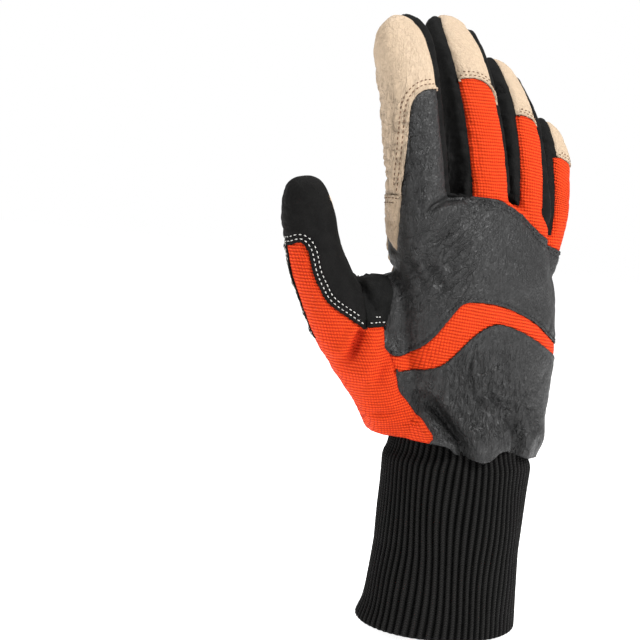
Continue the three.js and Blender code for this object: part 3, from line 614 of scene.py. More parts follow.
def web_loft():
    rows = curve_through(WEB_SECTIONS, np.linspace(0.0, 1.0, WEB_ROWS))
    across = np.tile(WEB_ACROSS, (WEB_ROWS, 1))
    back = np.tile((0.0, -1.0, 0.0), (WEB_ROWS, 1))
    return closed_loft(section_rings(hand_place(rows[:, :3]), across, back, rows[:, 3] * HAND_WIDTH,
                                     rows[:, 4] * HAND_DEPTH, 1.0, WEB_SIDES))


def at_share(path, name, share):
    return np.stack([np.interp(share, path["share"], column) for column in path[name].T], axis=-1)


def limb_places(path, points):
    """Where points lie along and round a limb: share of its length, then across and back of its centre."""
    coarse = path["centre"][::COARSE_STEP]
    nearest = np.argmin(
        (points ** 2).sum(1)[:, None] - 2 * points @ coarse.T + (coarse ** 2).sum(1)[None],
        axis=1) * COARSE_STEP
    share = path["share"][nearest]
    for _ in range(2):
        ahead = ((points - at_share(path, "centre", share)) * at_share(path, "heading", share)).sum(1)
        share = np.clip(share + ahead / path["length"], -0.2, 1.2)
    beyond = (share - np.clip(share, 0, 1))[:, None] * path["length"]
    reach = points - at_share(path, "centre", share) - beyond * at_share(path, "heading", share)
    return np.column_stack((
        share,
        (reach * at_share(path, "across", share)).sum(1),
        (reach * at_share(path, "back", share)).sum(1),
    ))


# Folds, wrinkles and uneven places

def cell_number(cell, seed):
    """A fixed number from 0 to 1 for each cell of a lattice."""
    key = cell[:, 0] * 73856093 ^ cell[:, 1] * 19349663 ^ cell[:, 2] * 83492791 ^ seed * 15485863
    key = (key ^ key >> 13) * 1274126177 & 0xFFFFFFFF
    key = (key ^ key >> 15) * 668265263 & 0xFFFFFFFF
    return (key & 0xFFFFFF) / 0xFFFFFF


def cloud(points, size, seed=1):
    """Smooth uneven values from -1 to 1, whose humps are about size millimetres wide."""
    place = points / size
    cell = np.floor(place).astype(np.int64)
    share = smooth_step(place - cell)
    total = np.zeros(len(points))
    for corner in np.ndindex(2, 2, 2):
        weight = np.where(corner, share, 1 - share).prod(1)
        total += weight * cell_number(cell + corner, seed)
    return 2 * total - 1


def line_reach(x, z, line):
    """Distance of points from a line in x and z, and where along it they lie, from 0 to 1."""
    steps = np.linalg.norm(np.diff(line, axis=0), axis=1)
    begins = np.cumsum(steps) - steps
    best = np.full(len(x), np.inf)
    along = np.zeros(len(x))
    for (ax, az), (bx, bz), step, begin in zip(line[:-1], line[1:], steps, begins):
        t = np.clip(((x - ax) * (bx - ax) + (z - az) * (bz - az)) / (step * step), 0, 1)
        reach = np.hypot(x - ax - t * (bx - ax), z - az - t * (bz - az))
        nearer = reach < best
        best[nearer] = reach[nearer]
        along[nearer] = begin + t[nearer] * step
    return best, along / steps.sum()


def fold_lift(points, side, folds):
    """How far folds raise points on one side of the glove, where side is above 0 and at most 1."""
    lift = np.zeros(len(points))
    for depth, width, fade_in, fade_out, shares in folds:
        line = seam_points(shares, 4)
        low, high = line.min(0) - 4.0 * width, line.max(0) + 4.0 * width
        near = np.flatnonzero(((points[:, ::2] > low) & (points[:, ::2] < high)).all(1) & (side > 0))
        distance, along = line_reach(points[near, 0], points[near, 2], line)
        fade = np.ones(len(near))
        if fade_in:
            fade *= smooth_step(along / fade_in)
        if fade_out:
            fade *= smooth_step((1 - along) / fade_out)
        groove = bell(distance, width) - 0.3 * bell(distance - 2.1 * width, width)
        lift[near] -= depth * fade * side[near] * groove
    return lift


def wrinkles(points, direction, along, across, seed):
    """Fine wrinkles that run along a direction in x and z, in the given lengths."""
    x, y, z = points.T
    c, s = math.cos(math.radians(direction)), math.sin(math.radians(direction))
    turned = np.column_stack(((x * c + z * s) / along, y / (2 * across), (z * c - x * s) / across))
    drift = 0.35 * cloud(points, 9.0, seed + 7)
    return -bell(cloud(turned + drift[:, None], 1.0, seed), 0.22)


def spot(points, across, up, reach):
    """How near points are to a place on the hand, from 1 at the place to 0 past its reach."""
    away = np.hypot(points[:, 0] - across * HAND_WIDTH, points[:, 2] - HEM_HEIGHT - up * HAND_LENGTH)
    return smooth_step(1.0 - away / reach)


def thumb_gathers(points):
    """Small pleats round the root of the thumb on the palm's side."""
    x, z = points[:, 0] + 0.66 * HAND_WIDTH, points[:, 2] - HEM_HEIGHT - 0.69 * HAND_LENGTH
    reach, turn = np.hypot(x, z), np.arctan2(z, x)
    wave = np.sin(17 * turn + 2 * cloud(points, 12.0, 31))
    return 0.75 * wave * np.exp(-reach / 13) * smooth_step(reach / 5)


def hem_gathers(points):
    """The hem is drawn in over the cuff in small gathers, below a soft bulge."""
    height = points[:, 2] - HEM_HEIGHT - 0.03 * HAND_LENGTH
    gathers = 0.75 * np.exp(-np.clip(height, 0, None) / 8) * cloud(points * (1, 1, 0.15), 5.5, 37)
    return 1.3 * bell(height - 9, 6) - 0.9 * bell(np.clip(height, -4, None), 3) + gathers


def joint_creases(points, places):
    """Creases across the joints of the fingers and the thumb, deeper on the palm's side."""
    lift = np.zeros(len(points))
    for limb, (place, shares) in enumerate(zip(places, FINGER_CREASES)):
        share, u, w = place.T
        on_limb = smooth_step((share - 0.1) / 0.1) * (np.hypot(u, w) < 0.9 * FINGER_WIDTH)
        wave = 0.008 * cloud(points, 6.0, 41 + limb)
        for number, crease in enumerate(shares):
            crossing = on_limb * bell(share + wave - crease, 0.013)
            lift -= 0.75 * crossing * smooth_step(0.6 - 0.12 * w + 0.3 * cloud(points, 7.0, number))
    return lift


def skin_relief(points, normals, places):
    """How far the worn skin stands out from its plain form in millimetres, and the columns of its look.

    These are how deep its folds are, which the materials darken with painted shade, and where it has fine
    wrinkles upwards and slanting ones, which get bumps and painted shade.
    """
    back = smooth_step(-normals[:, 1] * 2.5)
    palm = smooth_step(normals[:, 1] * 2.5)
    lower = np.maximum(spot(points, -0.17, 0.27, 42.0), 0.8 * spot(points, 0.1, 0.17, 26.0))
    web = spot(points, -0.44, 0.75, 34.0)
    index_side = smooth_step(-normals[:, 0] * 2.0) * spot(points, -0.56, 1.15, 60.0)
    where = {
        "back": back,
        "palm": palm,
        "lower back": back * lower,
        "above the cuff": back * spot(points, 0.1, 0.2, 28.0),
        "beside the thumb": back * web,
        "index root": back * spot(points, -0.3, 1.05, 26.0),
        "index side": index_side,
        "off the back": 1 - back,
    }
    lift = fold_lift(points, back, BACK_FOLDS) + fold_lift(points, palm, PALM_LINES + PALM_FOLDS)
    for name, depth, direction, along, across, seed in WRINKLES:
        lift += depth * where[name] * wrinkles(points, direction, along, across, seed)
    upright = back * (smooth_step(1.6 * lower) + 0.12) + 0.4 * palm + 0.8 * index_side
    slanting = back * np.maximum(smooth_step(1.6 * web), 0.6 * spot(points, -0.25, 1.0, 30.0)) + 0.3 * palm
    # The depth of the folds, kept so that the materials paint shade into them
    hollow = np.clip(-lift, 0, None)
    lift += 0.45 * cloud(points, 24.0, 3) + 0.22 * cloud(points, 10.0, 5)
    for place, reach, rise in FULL_PLACES:
        lift += rise * smooth_step(1 - np.linalg.norm((points - hand_place(place)) / reach, axis=1))
    lift += palm * thumb_gathers(points) + hem_gathers(points) + joint_creases(points, places)
    return lift, np.column_stack((hollow, upright, slanting))


# Signed distances of the cut lines, in millimetres, more than nothing inside a panel

def outline_field(outline, x, z):
    best = np.full(len(x), np.inf)
    inside = np.zeros(len(x), bool)
    for (ax, az), (bx, bz) in zip(outline, np.roll(outline, -1, axis=0)):
        dx, dz = bx - ax, bz - az
        size = dx * dx + dz * dz
        if size < 1e-12:
            continue
        t = np.clip(((x - ax) * dx + (z - az) * dz) / size, 0.0, 1.0)
        best = np.minimum(best, (x - ax - t * dx) ** 2 + (z - az - t * dz) ** 2)
        if az != bz:
            inside ^= ((az > z) != (bz > z)) & (x < (bx - ax) * (z - az) / (bz - az) + ax)
    return np.where(inside, 1.0, -1.0) * np.sqrt(best)


def rounded_corner(a, b, radius):
    """Where two fields both hold, with their shared corner rounded off."""
    near = (a < radius) & (b < radius)
    return np.where(near, radius - np.hypot(radius - a, radius - b), np.minimum(a, b))


def angle_along(angle, share, start, end):
    """An angle in radians at shares of a wedge: one number, or a pair for its root and its tip."""
    root, tip = angle if isinstance(angle, tuple) else (angle, angle)
    return np.radians(root + (tip - root) * np.clip((share - start) / (end - start), 0, 1))


def wedge_field(place, path, reach, angles, ends, corner_sizes=(0.1, 0.1)):
    """The part of a limb between two angles round it and two shares of its length."""
    share, u, w = place.T
    low, high = (angle_along(angle, share, *ends) for angle in angles)
    after_low = w * np.cos(low) - u * np.sin(low)
    before_high = u * np.sin(high) - w * np.cos(high)
    either = np.maximum(after_low, before_high)
    wide = high - low > math.pi
    tip = (ends[1] - share) * path["length"]
    sides = np.minimum(rounded_corner(np.where(wide, either, after_low), tip, corner_sizes[0]),
                       rounded_corner(np.where(wide, either, before_high), tip, corner_sizes[1]))
    return np.minimum.reduce((sides, (share - ends[0]) * path["length"], reach - np.hypot(u, w)))


class Skin:
    """The whole skin of the glove above the hem as triangles, each with the number of its panel."""

    def __init__(self):
        self.paths = [finger_path(finger) for finger in FINGERS] + [thumb_path()]
        lofts = [hand_loft(), thumb_loft(self.paths[THUMB]), web_loft()]
        lofts += [finger_loft(finger, path) for finger, path in zip(FINGERS, self.paths)]
        points, self.triangles = fused(lofts, sizes().skin_step / MM)
        points = relaxed(points, self.triangles, RELAX_ROUNDS)
        normals = vertex_normals(points, self.triangles)
        places = [limb_places(path, points) for path in self.paths]
        lift, look = skin_relief(points, normals, places)
        points = points + normals * lift[:, None]
        # Columns: the point, its normal, its place on each limb and the look columns
        self.data = np.column_stack([points, vertex_normals(points, self.triangles)] + places + [look])
        self.label = np.full(len(self.triangles), OPEN)
        self.cut_panels()

    @property
    def points(self):
        return self.data[:, 0:3]

    def inside(self, outline, low=-FAR, high=FAR):
        """The field of an outline of x and z between two depths."""
        x, y, z = self.points.T
        return np.minimum(outline_field(np.concatenate(outline), x, z), np.minimum(y - low, high - y))

    def finger_wedge(self, index, angles, ends, corner_sizes):
        finger = FINGERS[index]
        reach = 0.62 * FINGER_WIDTH * max(finger["width"], finger["thick"])
        place = limb_columns(self.data, index)
        return wedge_field(place, self.paths[index], reach, angles, ends, corner_sizes)

    def back_upper(self):
        knuckle = seam_points(KNUCKLE_SEAM)
        above = (knuckle, corners((0.65, 0.7), (-0.57, 0.7), (-0.56, 1.0)))
        below = (corners((-0.57, 0.86), (0.1, 0.86)), knuckle[20:], seam_points(WAVE_TOP_SEAM)[::-1],
                 corners((-0.575, 0.51), (-0.556, 0.636), (-0.575, 0.72)))
        return np.maximum.reduce((
            self.inside(above, high=KNUCKLE_DEPTH),
            self.inside(below, high=BACK_SEAM_DEPTH),
            self.finger_wedge(0, (STRIP_ANGLE, INDEX_SEAM_ANGLES), (0.12, BACK_ENDS[0]), (0.5, 8.0)),
        ))

    def knuckle_fabric(self):
        knuckle = seam_points(KNUCKLE_SEAM)
        band = (knuckle[5:21], corners((0.18, 1.0), (0.06, 1.02), (-0.1, 1.06), (-0.24, 1.08)))
        edge = (knuckle[20:], corners((0.65, 0.88), (0.42, 0.915), (0.3, 0.925), (0.2, 0.98), (0.18, 1.0)))
        fields = [self.inside(band, high=BAND_DEPTH), self.inside(edge, high=BAND_EDGE_DEPTH)]
        for finger, angles, start, low_corner in FABRIC_WEDGES:
            ends = (start, BACK_ENDS[finger])
            fields.append(self.finger_wedge(finger, angles, ends, (low_corner, 0.8)))
        return np.maximum.reduce(fields)

    def side_strip(self, left):
        """The strip between the finger with the number left and the next one, joined by a round bottom."""
        gap = FINGER_GAPS[left]
        low, high, up = gap["low"], gap["high"], gap["up"]
        turn = np.linspace(math.pi, 2 * math.pi, 13)
        bowl = np.column_stack((0.5 * (low + high) + 0.5 * (high - low) * np.cos(turn),
                                up + 0.02 + 0.085 * np.sin(turn)))
        bridge = (corners(*bowl, (high, up + 0.06), (low, up + 0.06)),)
        start, end, angle = gap["right_side"]
        next_start, next_end, next_angle = gap["left_side"]
        round_ends = (STRIP_CORNER, STRIP_CORNER)
        return np.maximum.reduce((
            self.finger_wedge(left, (-STRIP_ANGLE, angle), (start, end), round_ends),
            self.finger_wedge(left + 1, (next_angle, 180 + STRIP_ANGLE), (next_start, next_end), round_ends),
            self.inside(bridge, gap["back"], gap["front"]),
        ))

    def side_index_middle(self):
        return self.side_strip(0)

    def side_middle_ring(self):
        return self.side_strip(1)

    def side_ring_little(self):
        return self.side_strip(2)

    def thumb_side(self):
        back = (seam_points(SIDE_SEAM)[::-1], corners((-0.62, 0.8), (-0.75, 1.3), (-1.4, 1.3), (-1.4, -0.1)))
        palm = (seam_points(SIDE_PALM_SEAM), corners((-0.6, 0.6), (0.0, 0.6), (0.0, -0.1)))
        place = limb_columns(self.data, THUMB).copy()
        place[:, 2] += THUMB_TIP_WRAP * smooth_step((place[:, 0] - 0.8) / 0.15)
        wedge = wedge_field(place, self.paths[THUMB], 1.6 * THUMB_WIDTH, THUMB_SEAM_ANGLES, (0.0, 1.2))
        return np.minimum.reduce((self.inside(back), wedge, -self.inside(palm, SIDE_PALM_DEPTH)))

    def thumb_cover(self):
        above = (seam_points(TONGUE_SEAM), corners((-0.69, 0.7), (-0.6, 1.3), (-1.4, 1.3)))
        edge = corners((-1.4, 0.42), (-0.8, 0.42), (-0.8, 1.1), (-1.4, 1.1))
        x, y, z = self.points.T
        below_tongue = np.clip(HEM_HEIGHT + TONGUE_TOP * HAND_LENGTH - z, 0, None)
        past_edge = y - COVER_EDGE_DEPTH - COVER_EDGE_SLANT * below_tongue
        cover = np.maximum(self.inside(above), np.minimum(outline_field(edge, x, z), past_edge))
        return np.minimum(cover, self.thumb_side())

    def thumb_gusset(self):
        outline = corners((-0.695, 0.49), (-0.57, 0.5), (-0.556, 0.636), (-0.575, 0.72), (-0.575, 0.775),
                          (-0.6, 0.78), (-0.72, 0.7))
        return self.inside((outline,), high=GUSSET_DEPTH)

    def back_wave(self):
        sides = (seam_points(WAVE_TOP_SEAM), seam_points(WAVE_LOW_SEAM)[::-1])
        return self.inside(sides, high=BACK_SEAM_DEPTH)

    def back_lower(self):
        return self.inside((seam_points(WAVE_LOW_SEAM), corners((0.65, -0.1), (-0.7, -0.1))),
                           high=BACK_SEAM_DEPTH)

    def thumb_front(self):
        return self.inside((seam_points(THUMB_SEAM), corners((-1.4, 1.3), (-1.4, -0.1))))

    def palm_patch(self):
        return self.inside((seam_points(PATCH_TOP_SEAM), corners((0.65, -0.1), (-0.75, -0.1))))

    def cut_panels(self):
        """Cuts the skin along every seam, in the order in which the panels overlap. The last is the rest."""
        self.split(self.inside((seam_points(HEM_LINE), corners((0.7, -0.3), (-0.7, -0.3)))), HEM)
        keep = self.label != HEM
        self.triangles = self.triangles[keep]
        self.label = self.label[keep]
        for number, name in enumerate(PIECES[:-1]):
            self.split(getattr(self, name)(), number)
        self.label[self.label == OPEN] = len(PIECES) - 1
        self.join_crumbs()

    def split(self, value, number):
        """Splits the open triangles along the zero line of a field and numbers those inside it."""
        value[np.abs(value) < SEAM_SNAP] = 0.0
        v = value[self.triangles]
        mixed = (self.label == OPEN) & (v.max(1) > 0) & (v.min(1) < 0)
        edges = np.sort(triangle_edges(self.triangles[mixed]), axis=1)
        crossing = value[edges].prod(1) < 0
        count = len(value)
        keys = np.unique(edge_keys(edges[crossing], count))
        if len(keys):
            a, b = keys // count, keys % count
            t = (value[a] / (value[a] - value[b]))[:, None]
            self.data = np.concatenate((self.data, self.data[a] * (1 - t) + self.data[b] * t))
            value = np.concatenate((value, np.zeros(len(keys))))
            self.triangles, self.label = split_triangles(self.triangles, self.label, keys, count)
        v = value[self.triangles]
        self.label[(self.label == OPEN) & (v.min(1) >= 0) & (v.max(1) > 0)] = number

    def join_crumbs(self):
        """Gives small loose scraps of a panel to the panel beside them."""
        for _ in range(2):
            a, b = neighbour_faces(self.triangles)
            same = self.label[a] == self.label[b]
            group = connected(len(self.triangles), a[same], b[same])
            area = 0.5 * np.linalg.norm(face_normals(self.points, self.triangles), axis=1)
            total = np.bincount(group, weights=area)
            biggest = []
            for label in range(len(PIECES)):
                groups = np.unique(group[self.label == label])
                biggest.append(groups[np.argmax(total[groups])])
            for crumb in np.unique(group[~np.isin(group, biggest)]):
                beside = np.concatenate((self.label[b][(group[a] == crumb) & ~same],
                                         self.label[a][(group[b] == crumb) & ~same]))
                if len(beside):
                    self.label[group == crumb] = np.bincount(beside).argmax()


# Triangles and meshes

def limb_columns(data, limb):
    """The places of points along and round one limb, from the skin's columns."""
    return data[:, 6 + 3 * limb:9 + 3 * limb]


def triangle_edges(triangles):
    """The edges of triangles as pairs of points: every first edge, then every second and every third one."""
    return np.concatenate([triangles[:, pair] for pair in ((0, 1), (1, 2), (2, 0))])


def edge_keys(edges, count):
    """One number for each pair of points, of which there are count."""
    return edges[:, 0].astype(np.int64) * count + edges[:, 1]


def split_triangles(tri, label, keys, count):
    """Retriangulates around the new points that lie on the edges with the given keys."""
    key = edge_keys(np.sort(triangle_edges(tri), axis=1), count)
    found = np.minimum(np.searchsorted(keys, key), len(keys) - 1)
    cut = np.where(keys[found] == key, count + found, -1).reshape(3, -1).T
    number = (cut >= 0).sum(1)
    parts = [tri[number == 0]]
    labels = [label[number == 0]]
    for side in range(3):
        chosen = (number == 1) & (cut[:, side] >= 0)
        a, b, c = (tri[chosen][:, (side + k) % 3] for k in range(3))
        m = cut[chosen, side]
        parts += [np.column_stack((a, m, c)), np.column_stack((m, b, c))]
        labels += [label[chosen]] * 2
        chosen = (number == 2) & (cut[:, (side + 2) % 3] < 0)
        a, b, c = (tri[chosen][:, (side + k) % 3] for k in range(3))
        m, n = cut[chosen, side], cut[chosen, (side + 1) % 3]
        parts += [np.column_stack((m, b, n)), np.column_stack((a, m, n)), np.column_stack((a, n, c))]
        labels += [label[chosen]] * 3
    return np.concatenate(parts), np.concatenate(labels)


def neighbour_faces(triangles):
    """Pairs of triangles that share an edge."""
    face = np.tile(np.arange(len(triangles)), 3)
    key = edge_keys(np.sort(triangle_edges(triangles), axis=1), triangles.max() + 1)
    order = np.argsort(key, kind="stable")
    same = key[order][1:] == key[order][:-1]
    return face[order][:-1][same], face[order][1:][same]


def connected(count, a, b):
    """The number of the group that each of count things belongs to, joined by pairs a and b."""
    group = np.arange(count)
    while True:
        low = np.minimum(group[a], group[b])
        before = group.copy()
        np.minimum.at(group, a, low)
        np.minimum.at(group, b, low)
        group = group[group]
        if np.array_equal(group, before):
            return group


def face_normals(points, triangles):
    """Normals of triangles, each twice as long as the triangle is large."""
    a, b, c = (points[triangles[:, k]] for k in range(3))
    return np.cross(b - a, c - a)


def vertex_normals(points, triangles):
    face = face_normals(points, triangles)
    total = np.stack([
        sum(np.bincount(triangles[:, k], weights=face[:, axis], minlength=len(points)) for k in range(3))
        for axis in range(3)
    ], axis=-1)
    return unit(total)


def relaxed(points, triangles, rounds):
    """Points smoothed back and forth along the edges, so that the form keeps its size."""
    a, b = np.unique(np.sort(triangle_edges(triangles), axis=1), axis=0).T
    count = len(points)
    number = np.maximum(np.bincount(a, minlength=count) + np.bincount(b, minlength=count), 1)[:, None]
    for step in range(rounds):
        total = np.stack([
            np.bincount(a, weights=column[b], minlength=count)
            + np.bincount(b, weights=column[a], minlength=count)
            for column in points.T
        ], axis=-1)
        points = points + (0.5 if step % 2 == 0 else -0.47) * (total / number - points)
    return points


def fused(lofts, step):
    """One closed skin round overlapping lofts, as points and triangles."""
    starts = np.cumsum([0] + [len(points) for points, _ in lofts])
    mesh = bpy.data.meshes.new("skin_form")
    mesh.from_pydata(np.concatenate([points for points, _ in lofts]).tolist(), [],
                     np.concatenate([faces + start for (_, faces), start in zip(lofts, starts)]).tolist())
    form = bpy.data.objects.new("skin_form", mesh)
    bpy.context.scene.collection.objects.link(form)
    remesh = form.modifiers.new("fuse", "REMESH")
    remesh.mode = "VOXEL"
    remesh.voxel_size = step
    remesh.adaptivity = 0.0
    result = bpy.data.meshes.new_from_object(form.evaluated_get(bpy.context.evaluated_depsgraph_get()))
    points = np.empty(len(result.vertices) * 3)
    result.vertices.foreach_get("co", points)
    result.calc_loop_triangles()
    triangles = np.empty(len(result.loop_triangles) * 3, np.int32)
    result.loop_triangles.foreach_get("vertices", triangles)
    bpy.data.objects.remove(form)
    bpy.data.meshes.remove(result)
    bpy.data.meshes.remove(mesh)
    return points.reshape(-1, 3), triangles.reshape(-1, 3)


# The skin and the panels that are made so far, by name
made = {}


def skin():
    """The glove's skin, cut into panels once for all the operators."""
    if "skin" not in made:
        made["skin"] = Skin()
    return made["skin"]


def edge_lift(name, neighbour, distance):
    """How far the edge of a panel rises over its neighbour or sinks beside it. The hem has no neighbour."""
    kind = SUNK
    if neighbour is None:
        kind = TURNED
    elif (name, neighbour) in ON_TOP:
        kind = OVER
    elif (neighbour, name) in ON_TOP:
        kind = UNDER
    lift = kind["rise"] * bell(distance, kind["width"])
    if kind is OVER:
        rounded = 0.35 * np.clip(1 - distance / 0.9, 0, 1) ** 2
        stitched = 0.3 * bell(distance - 2.4, 1.1)
        lift = lift - rounded - stitched
    return lift


class Panel:
    """One cut panel: its points, triangles, distance from its edge and what lies beyond the edge."""

    def __init__(self, name):
        whole = skin()
        number = PIECES.index(name)
        used, index = np.unique(whole.triangles[whole.label == number], return_inverse=True)
        self.name = name
        self.triangles = index.reshape(-1, 3)
        self.data = whole.data[used]
        self.points = self.data[:, 0:3]
        self.normals = unit(self.data[:, 3:6])
        self.find_border(whole, number, used)

    def find_border(self, whole, number, used):
        """Finds the panel's edge, how far each point is from it, and which panel lies beyond it there."""
        edges = triangle_edges(self.triangles)
        alone = ~np.isin(edge_keys(edges, len(used)), edge_keys(edges[:, ::-1], len(used)))
        self.border = edges[alone]
        others = whole.label != number
        total = len(whole.points)
        other = edge_keys(triangle_edges(whole.triangles[others])[:, ::-1], total)
        order = np.argsort(other)
        mine = edge_keys(used[self.border], total)
        found = np.minimum(np.searchsorted(other[order], mine), len(order) - 1)
        label = np.tile(whole.label[others], 3)[order][found]
        beyond = np.where(other[order][found] == mine, label, HEM)
        middle = self.points[self.border].mean(1)
        tree = KDTree(len(middle))
        for index, point in enumerate(middle):
            tree.insert(point, index)
        tree.balance()
        nearest = [tree.find(point) for point in self.points]
        which = [row[1] for row in nearest]
        self.edge_distance = np.array([row[2] for row in nearest])
        self.edge_distance[np.unique(self.border)] = 0.0
        self.edge_point = middle[which]
        self.neighbour = beyond[which]

    def beside(self, names):
        """Which points lie nearest to one of the named panels."""
        return np.isin(self.neighbour, [PIECES.index(name) for name in names])

    def lift(self):
        """How far the panel's points move outwards from the skin."""
        result = np.zeros(len(self.points))
        for label in np.unique(self.neighbour):
            neighbour = None if label == HEM else PIECES[label]
            chosen = self.neighbour == label
            result[chosen] = edge_lift(self.name, neighbour, self.edge_distance[chosen])
        for _, panel, beside, rows in STITCH_ROWS:
            if panel != self.name:
                continue
            sewn = self.beside(beside)
            for row in rows:
                result -= 0.3 * sewn * bell(self.edge_distance - row, 0.8)
            pull = np.exp(-np.clip(self.edge_distance - 0.5 * rows[-1], 0, None) / 4.5)
            result += 0.42 * sewn * pull * cloud(self.edge_point, 3.2, 43)
        return result


def make_object(name, points, faces, edges=(), material=None, attributes=()):
    """A mesh object with smooth faces from millimetre points, which keeps a number or direction for each."""
    mesh = bpy.data.meshes.new(name)
    mesh.from_pydata((np.asarray(points) * MM).tolist(), edges, faces)
    mesh.shade_smooth()
    for key, values in attributes:
        values = np.asarray(values, np.float32)
        kind, field = ("FLOAT", "value") if values.ndim == 1 else ("FLOAT_VECTOR", "vector")
        layer = mesh.attributes.new(key, kind, "POINT")
        layer.data.foreach_set(field, values.ravel())
    if material:
        mesh.materials.append(material)
    piece = bpy.data.objects.new(name, mesh)
    bpy.context.scene.collection.objects.link(piece)
    return piece


def finish_piece(piece, slot, *nodes):
    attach(piece, "root")
    if nodes:
        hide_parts(*nodes)


def build_panel(name, look, slot=None, lift=None, attributes=None):
    """Makes one panel with its inner face and rim. The slot, that of its look unless one is given, is not
    used.
    """
    panel = Panel(name)
    rise = panel.lift()
    if lift:
        rise = rise + lift(panel)
    panel.shown = panel.points + panel.normals * rise[:, None]
    panel.shown_normals = vertex_normals(panel.shown, panel.triangles)
    inner = panel.shown - panel.shown_normals * (sizes().leather_thickness / MM)
    count = len(inner)
    a, b = panel.border.T
    rim = np.concatenate((np.column_stack((a, a + count, b + count)), np.column_stack((a, b + count, b))))
    faces = np.concatenate((panel.triangles, panel.triangles[:, ::-1] + count, rim))
    # The distance from the edge and the look columns go to the materials, which paint shade along the seams
    # and into the folds and crinkles
    columns = [("edge", panel.edge_distance), *zip(LOOK_COLUMNS, panel.data[:, -3:].T)]
    if attributes:
        columns += attributes(panel)
    piece = make_object(name + "_shown", np.concatenate((panel.shown, inner)), faces.tolist(),
                        material=material(look), attributes=[(key, np.tile(row, 2)) for key, row in columns])
    finish_piece(piece, slot or look, name)
    made[name] = panel


# Helpers for node trees

class Nodes:
    """Adds and links the nodes of one tree."""

    def __init__(self, tree):
        self.tree = tree

    def put(self, socket, source):
        """Links an output to a socket, or sets the socket to a value. A colour has three numbers."""
        if isinstance(source, bpy.types.NodeSocket):
            self.tree.links.new(source, socket)
        elif isinstance(source, tuple) and socket.type == "RGBA":
            socket.default_value = (*source, 1.0)
        else:
            socket.default_value = source

    def feed(self, node, *sources, **named):
        """Fills the first inputs of a node in their order, and the named ones by their names."""
        for socket, source in zip(node.inputs, sources):
            self.put(socket, source)
        for key, source in named.items():
            self.put(node.inputs[key.replace("_", " ")], source)
        return node

    def add(self, kind, **values):
        """A new node. A value goes to the input of that name, or else to the node's setting."""
        node = self.tree.nodes.new(kind)
        for key, value in values.items():
            if key in node.inputs.keys():
                self.put(node.inputs[key], value)
            else:
                setattr(node, key, value)
        return node

    def math(self, operation, *values):
        return self.feed(self.add("ShaderNodeMath", operation=operation), *values).outputs[0]

    def kept(self, name, data_type):
        """A value that the geometry keeps under a name."""
        node = self.add("GeometryNodeInputNamedAttribute", data_type=data_type, Name=name)
        return node.outputs["Attribute"]

    def end(self, geometry, coat):
        """Ends a Geometry Nodes tree, with a material on all of its faces."""
        coated = self.feed(self.add("GeometryNodeSetMaterial"), Geometry=geometry, Material=coat)
        self.feed(self.add("NodeGroupOutput"), Geometry=coated.outputs["Geometry"])

    def spread(self, value, low, high, to_low=0.0, to_high=1.0):
        """A value between low and high, spread softly from to_low to to_high."""
        node = self.add("ShaderNodeMapRange", interpolation_type="SMOOTHSTEP")
        self.feed(node, Value=value, From_Min=low, From_Max=high, To_Min=to_low, To_Max=to_high)
        return node.outputs["Result"]

    def facing(self, direction, toward):
        """How far a direction or place lies toward another direction."""
        return self.feed(self.add("ShaderNodeVectorMath", operation="DOT_PRODUCT"), direction,
                         toward).outputs["Value"]


class Surface(Nodes):
    """One material, whose looks come from the place on the object and from its kept attributes."""

    def __init__(self, name):
        self.material = bpy.data.materials.new(name)
        self.material.use_nodes = True
        super().__init__(self.material.node_tree)
        self.shader = self.tree.nodes["Principled BSDF"]
        self.place = self.add("ShaderNodeTexCoord").outputs["Object"]

    def attribute(self, name):
        return self.add("ShaderNodeAttribute", attribute_name=name).outputs["Fac"]

    def noise(self, scale, detail=3.0, roughness=0.55, distortion=0.0, place=None):
        node = self.add("ShaderNodeTexNoise", Scale=scale, Detail=detail, Roughness=roughness,
                        Distortion=distortion)
        return self.feed(node, Vector=self.place if place is None else place).outputs["Fac"]

    def cells(self, scale):
        node = self.add("ShaderNodeTexVoronoi", Scale=scale)
        return self.feed(node, Vector=self.place).outputs["Distance"]

    def mapped(self, place, **values):
        return self.feed(self.add("ShaderNodeMapping", **values), Vector=place).outputs["Vector"]

    def from_middle(self, value):
        return self.math("ABSOLUTE", self.math("SUBTRACT", value, 0.5))

    def crinkles(self, worn, degrees):
        """Thin creases, 1 along their middle, where the skin is worn."""
        turned = self.mapped(self.place, Rotation=(0.0, math.radians(degrees), 0.0))
        value = self.noise(300.0, 3.0, 0.5, 0.8, place=self.mapped(turned, Scale=(1.0, 1.0, 0.3)))
        return self.math("MULTIPLY", self.spread(self.from_middle(value), 0.0, 0.05, 1.0, 0.0), worn)

    def waves(self, length, pitch):
        """Rounded waves from 0 to 1 along a length in millimetres."""
        turns = self.math("MULTIPLY", length, 2 * math.pi / pitch)
        return self.math("ADD", self.math("MULTIPLY", self.math("COSINE", turns), 0.5), 0.5)

    def tones(self, low, high, share, *layers):
        """A colour between low and high, under layers of other colours that each have a share."""
        tone = low
        for share, colour in ((share, high), *layers):
            node = self.add("ShaderNodeMix", data_type="RGBA")
            for index, value in ((0, share), (6, tone), (7, colour)):
                self.put(node.inputs[index], value)
            tone = node.outputs[2]
        return tone

    def bumps(self, *rows):
        """Bumps over one another, each from a height, its distance in metres and its strength."""
        normal = None
        for height, distance, strength in rows:
            node = self.feed(self.add("ShaderNodeBump", Strength=strength, Distance=distance), Height=height)
            if normal is not None:
                self.feed(node, Normal=normal)
            normal = node.outputs["Normal"]
        return normal

    def finish(self, colour, roughness, normal, specular):
        self.feed(self.shader, Base_Color=colour, Roughness=roughness, Normal=normal,
                  Specular_IOR_Level=specular)
        return self.material


# Rows of stitches

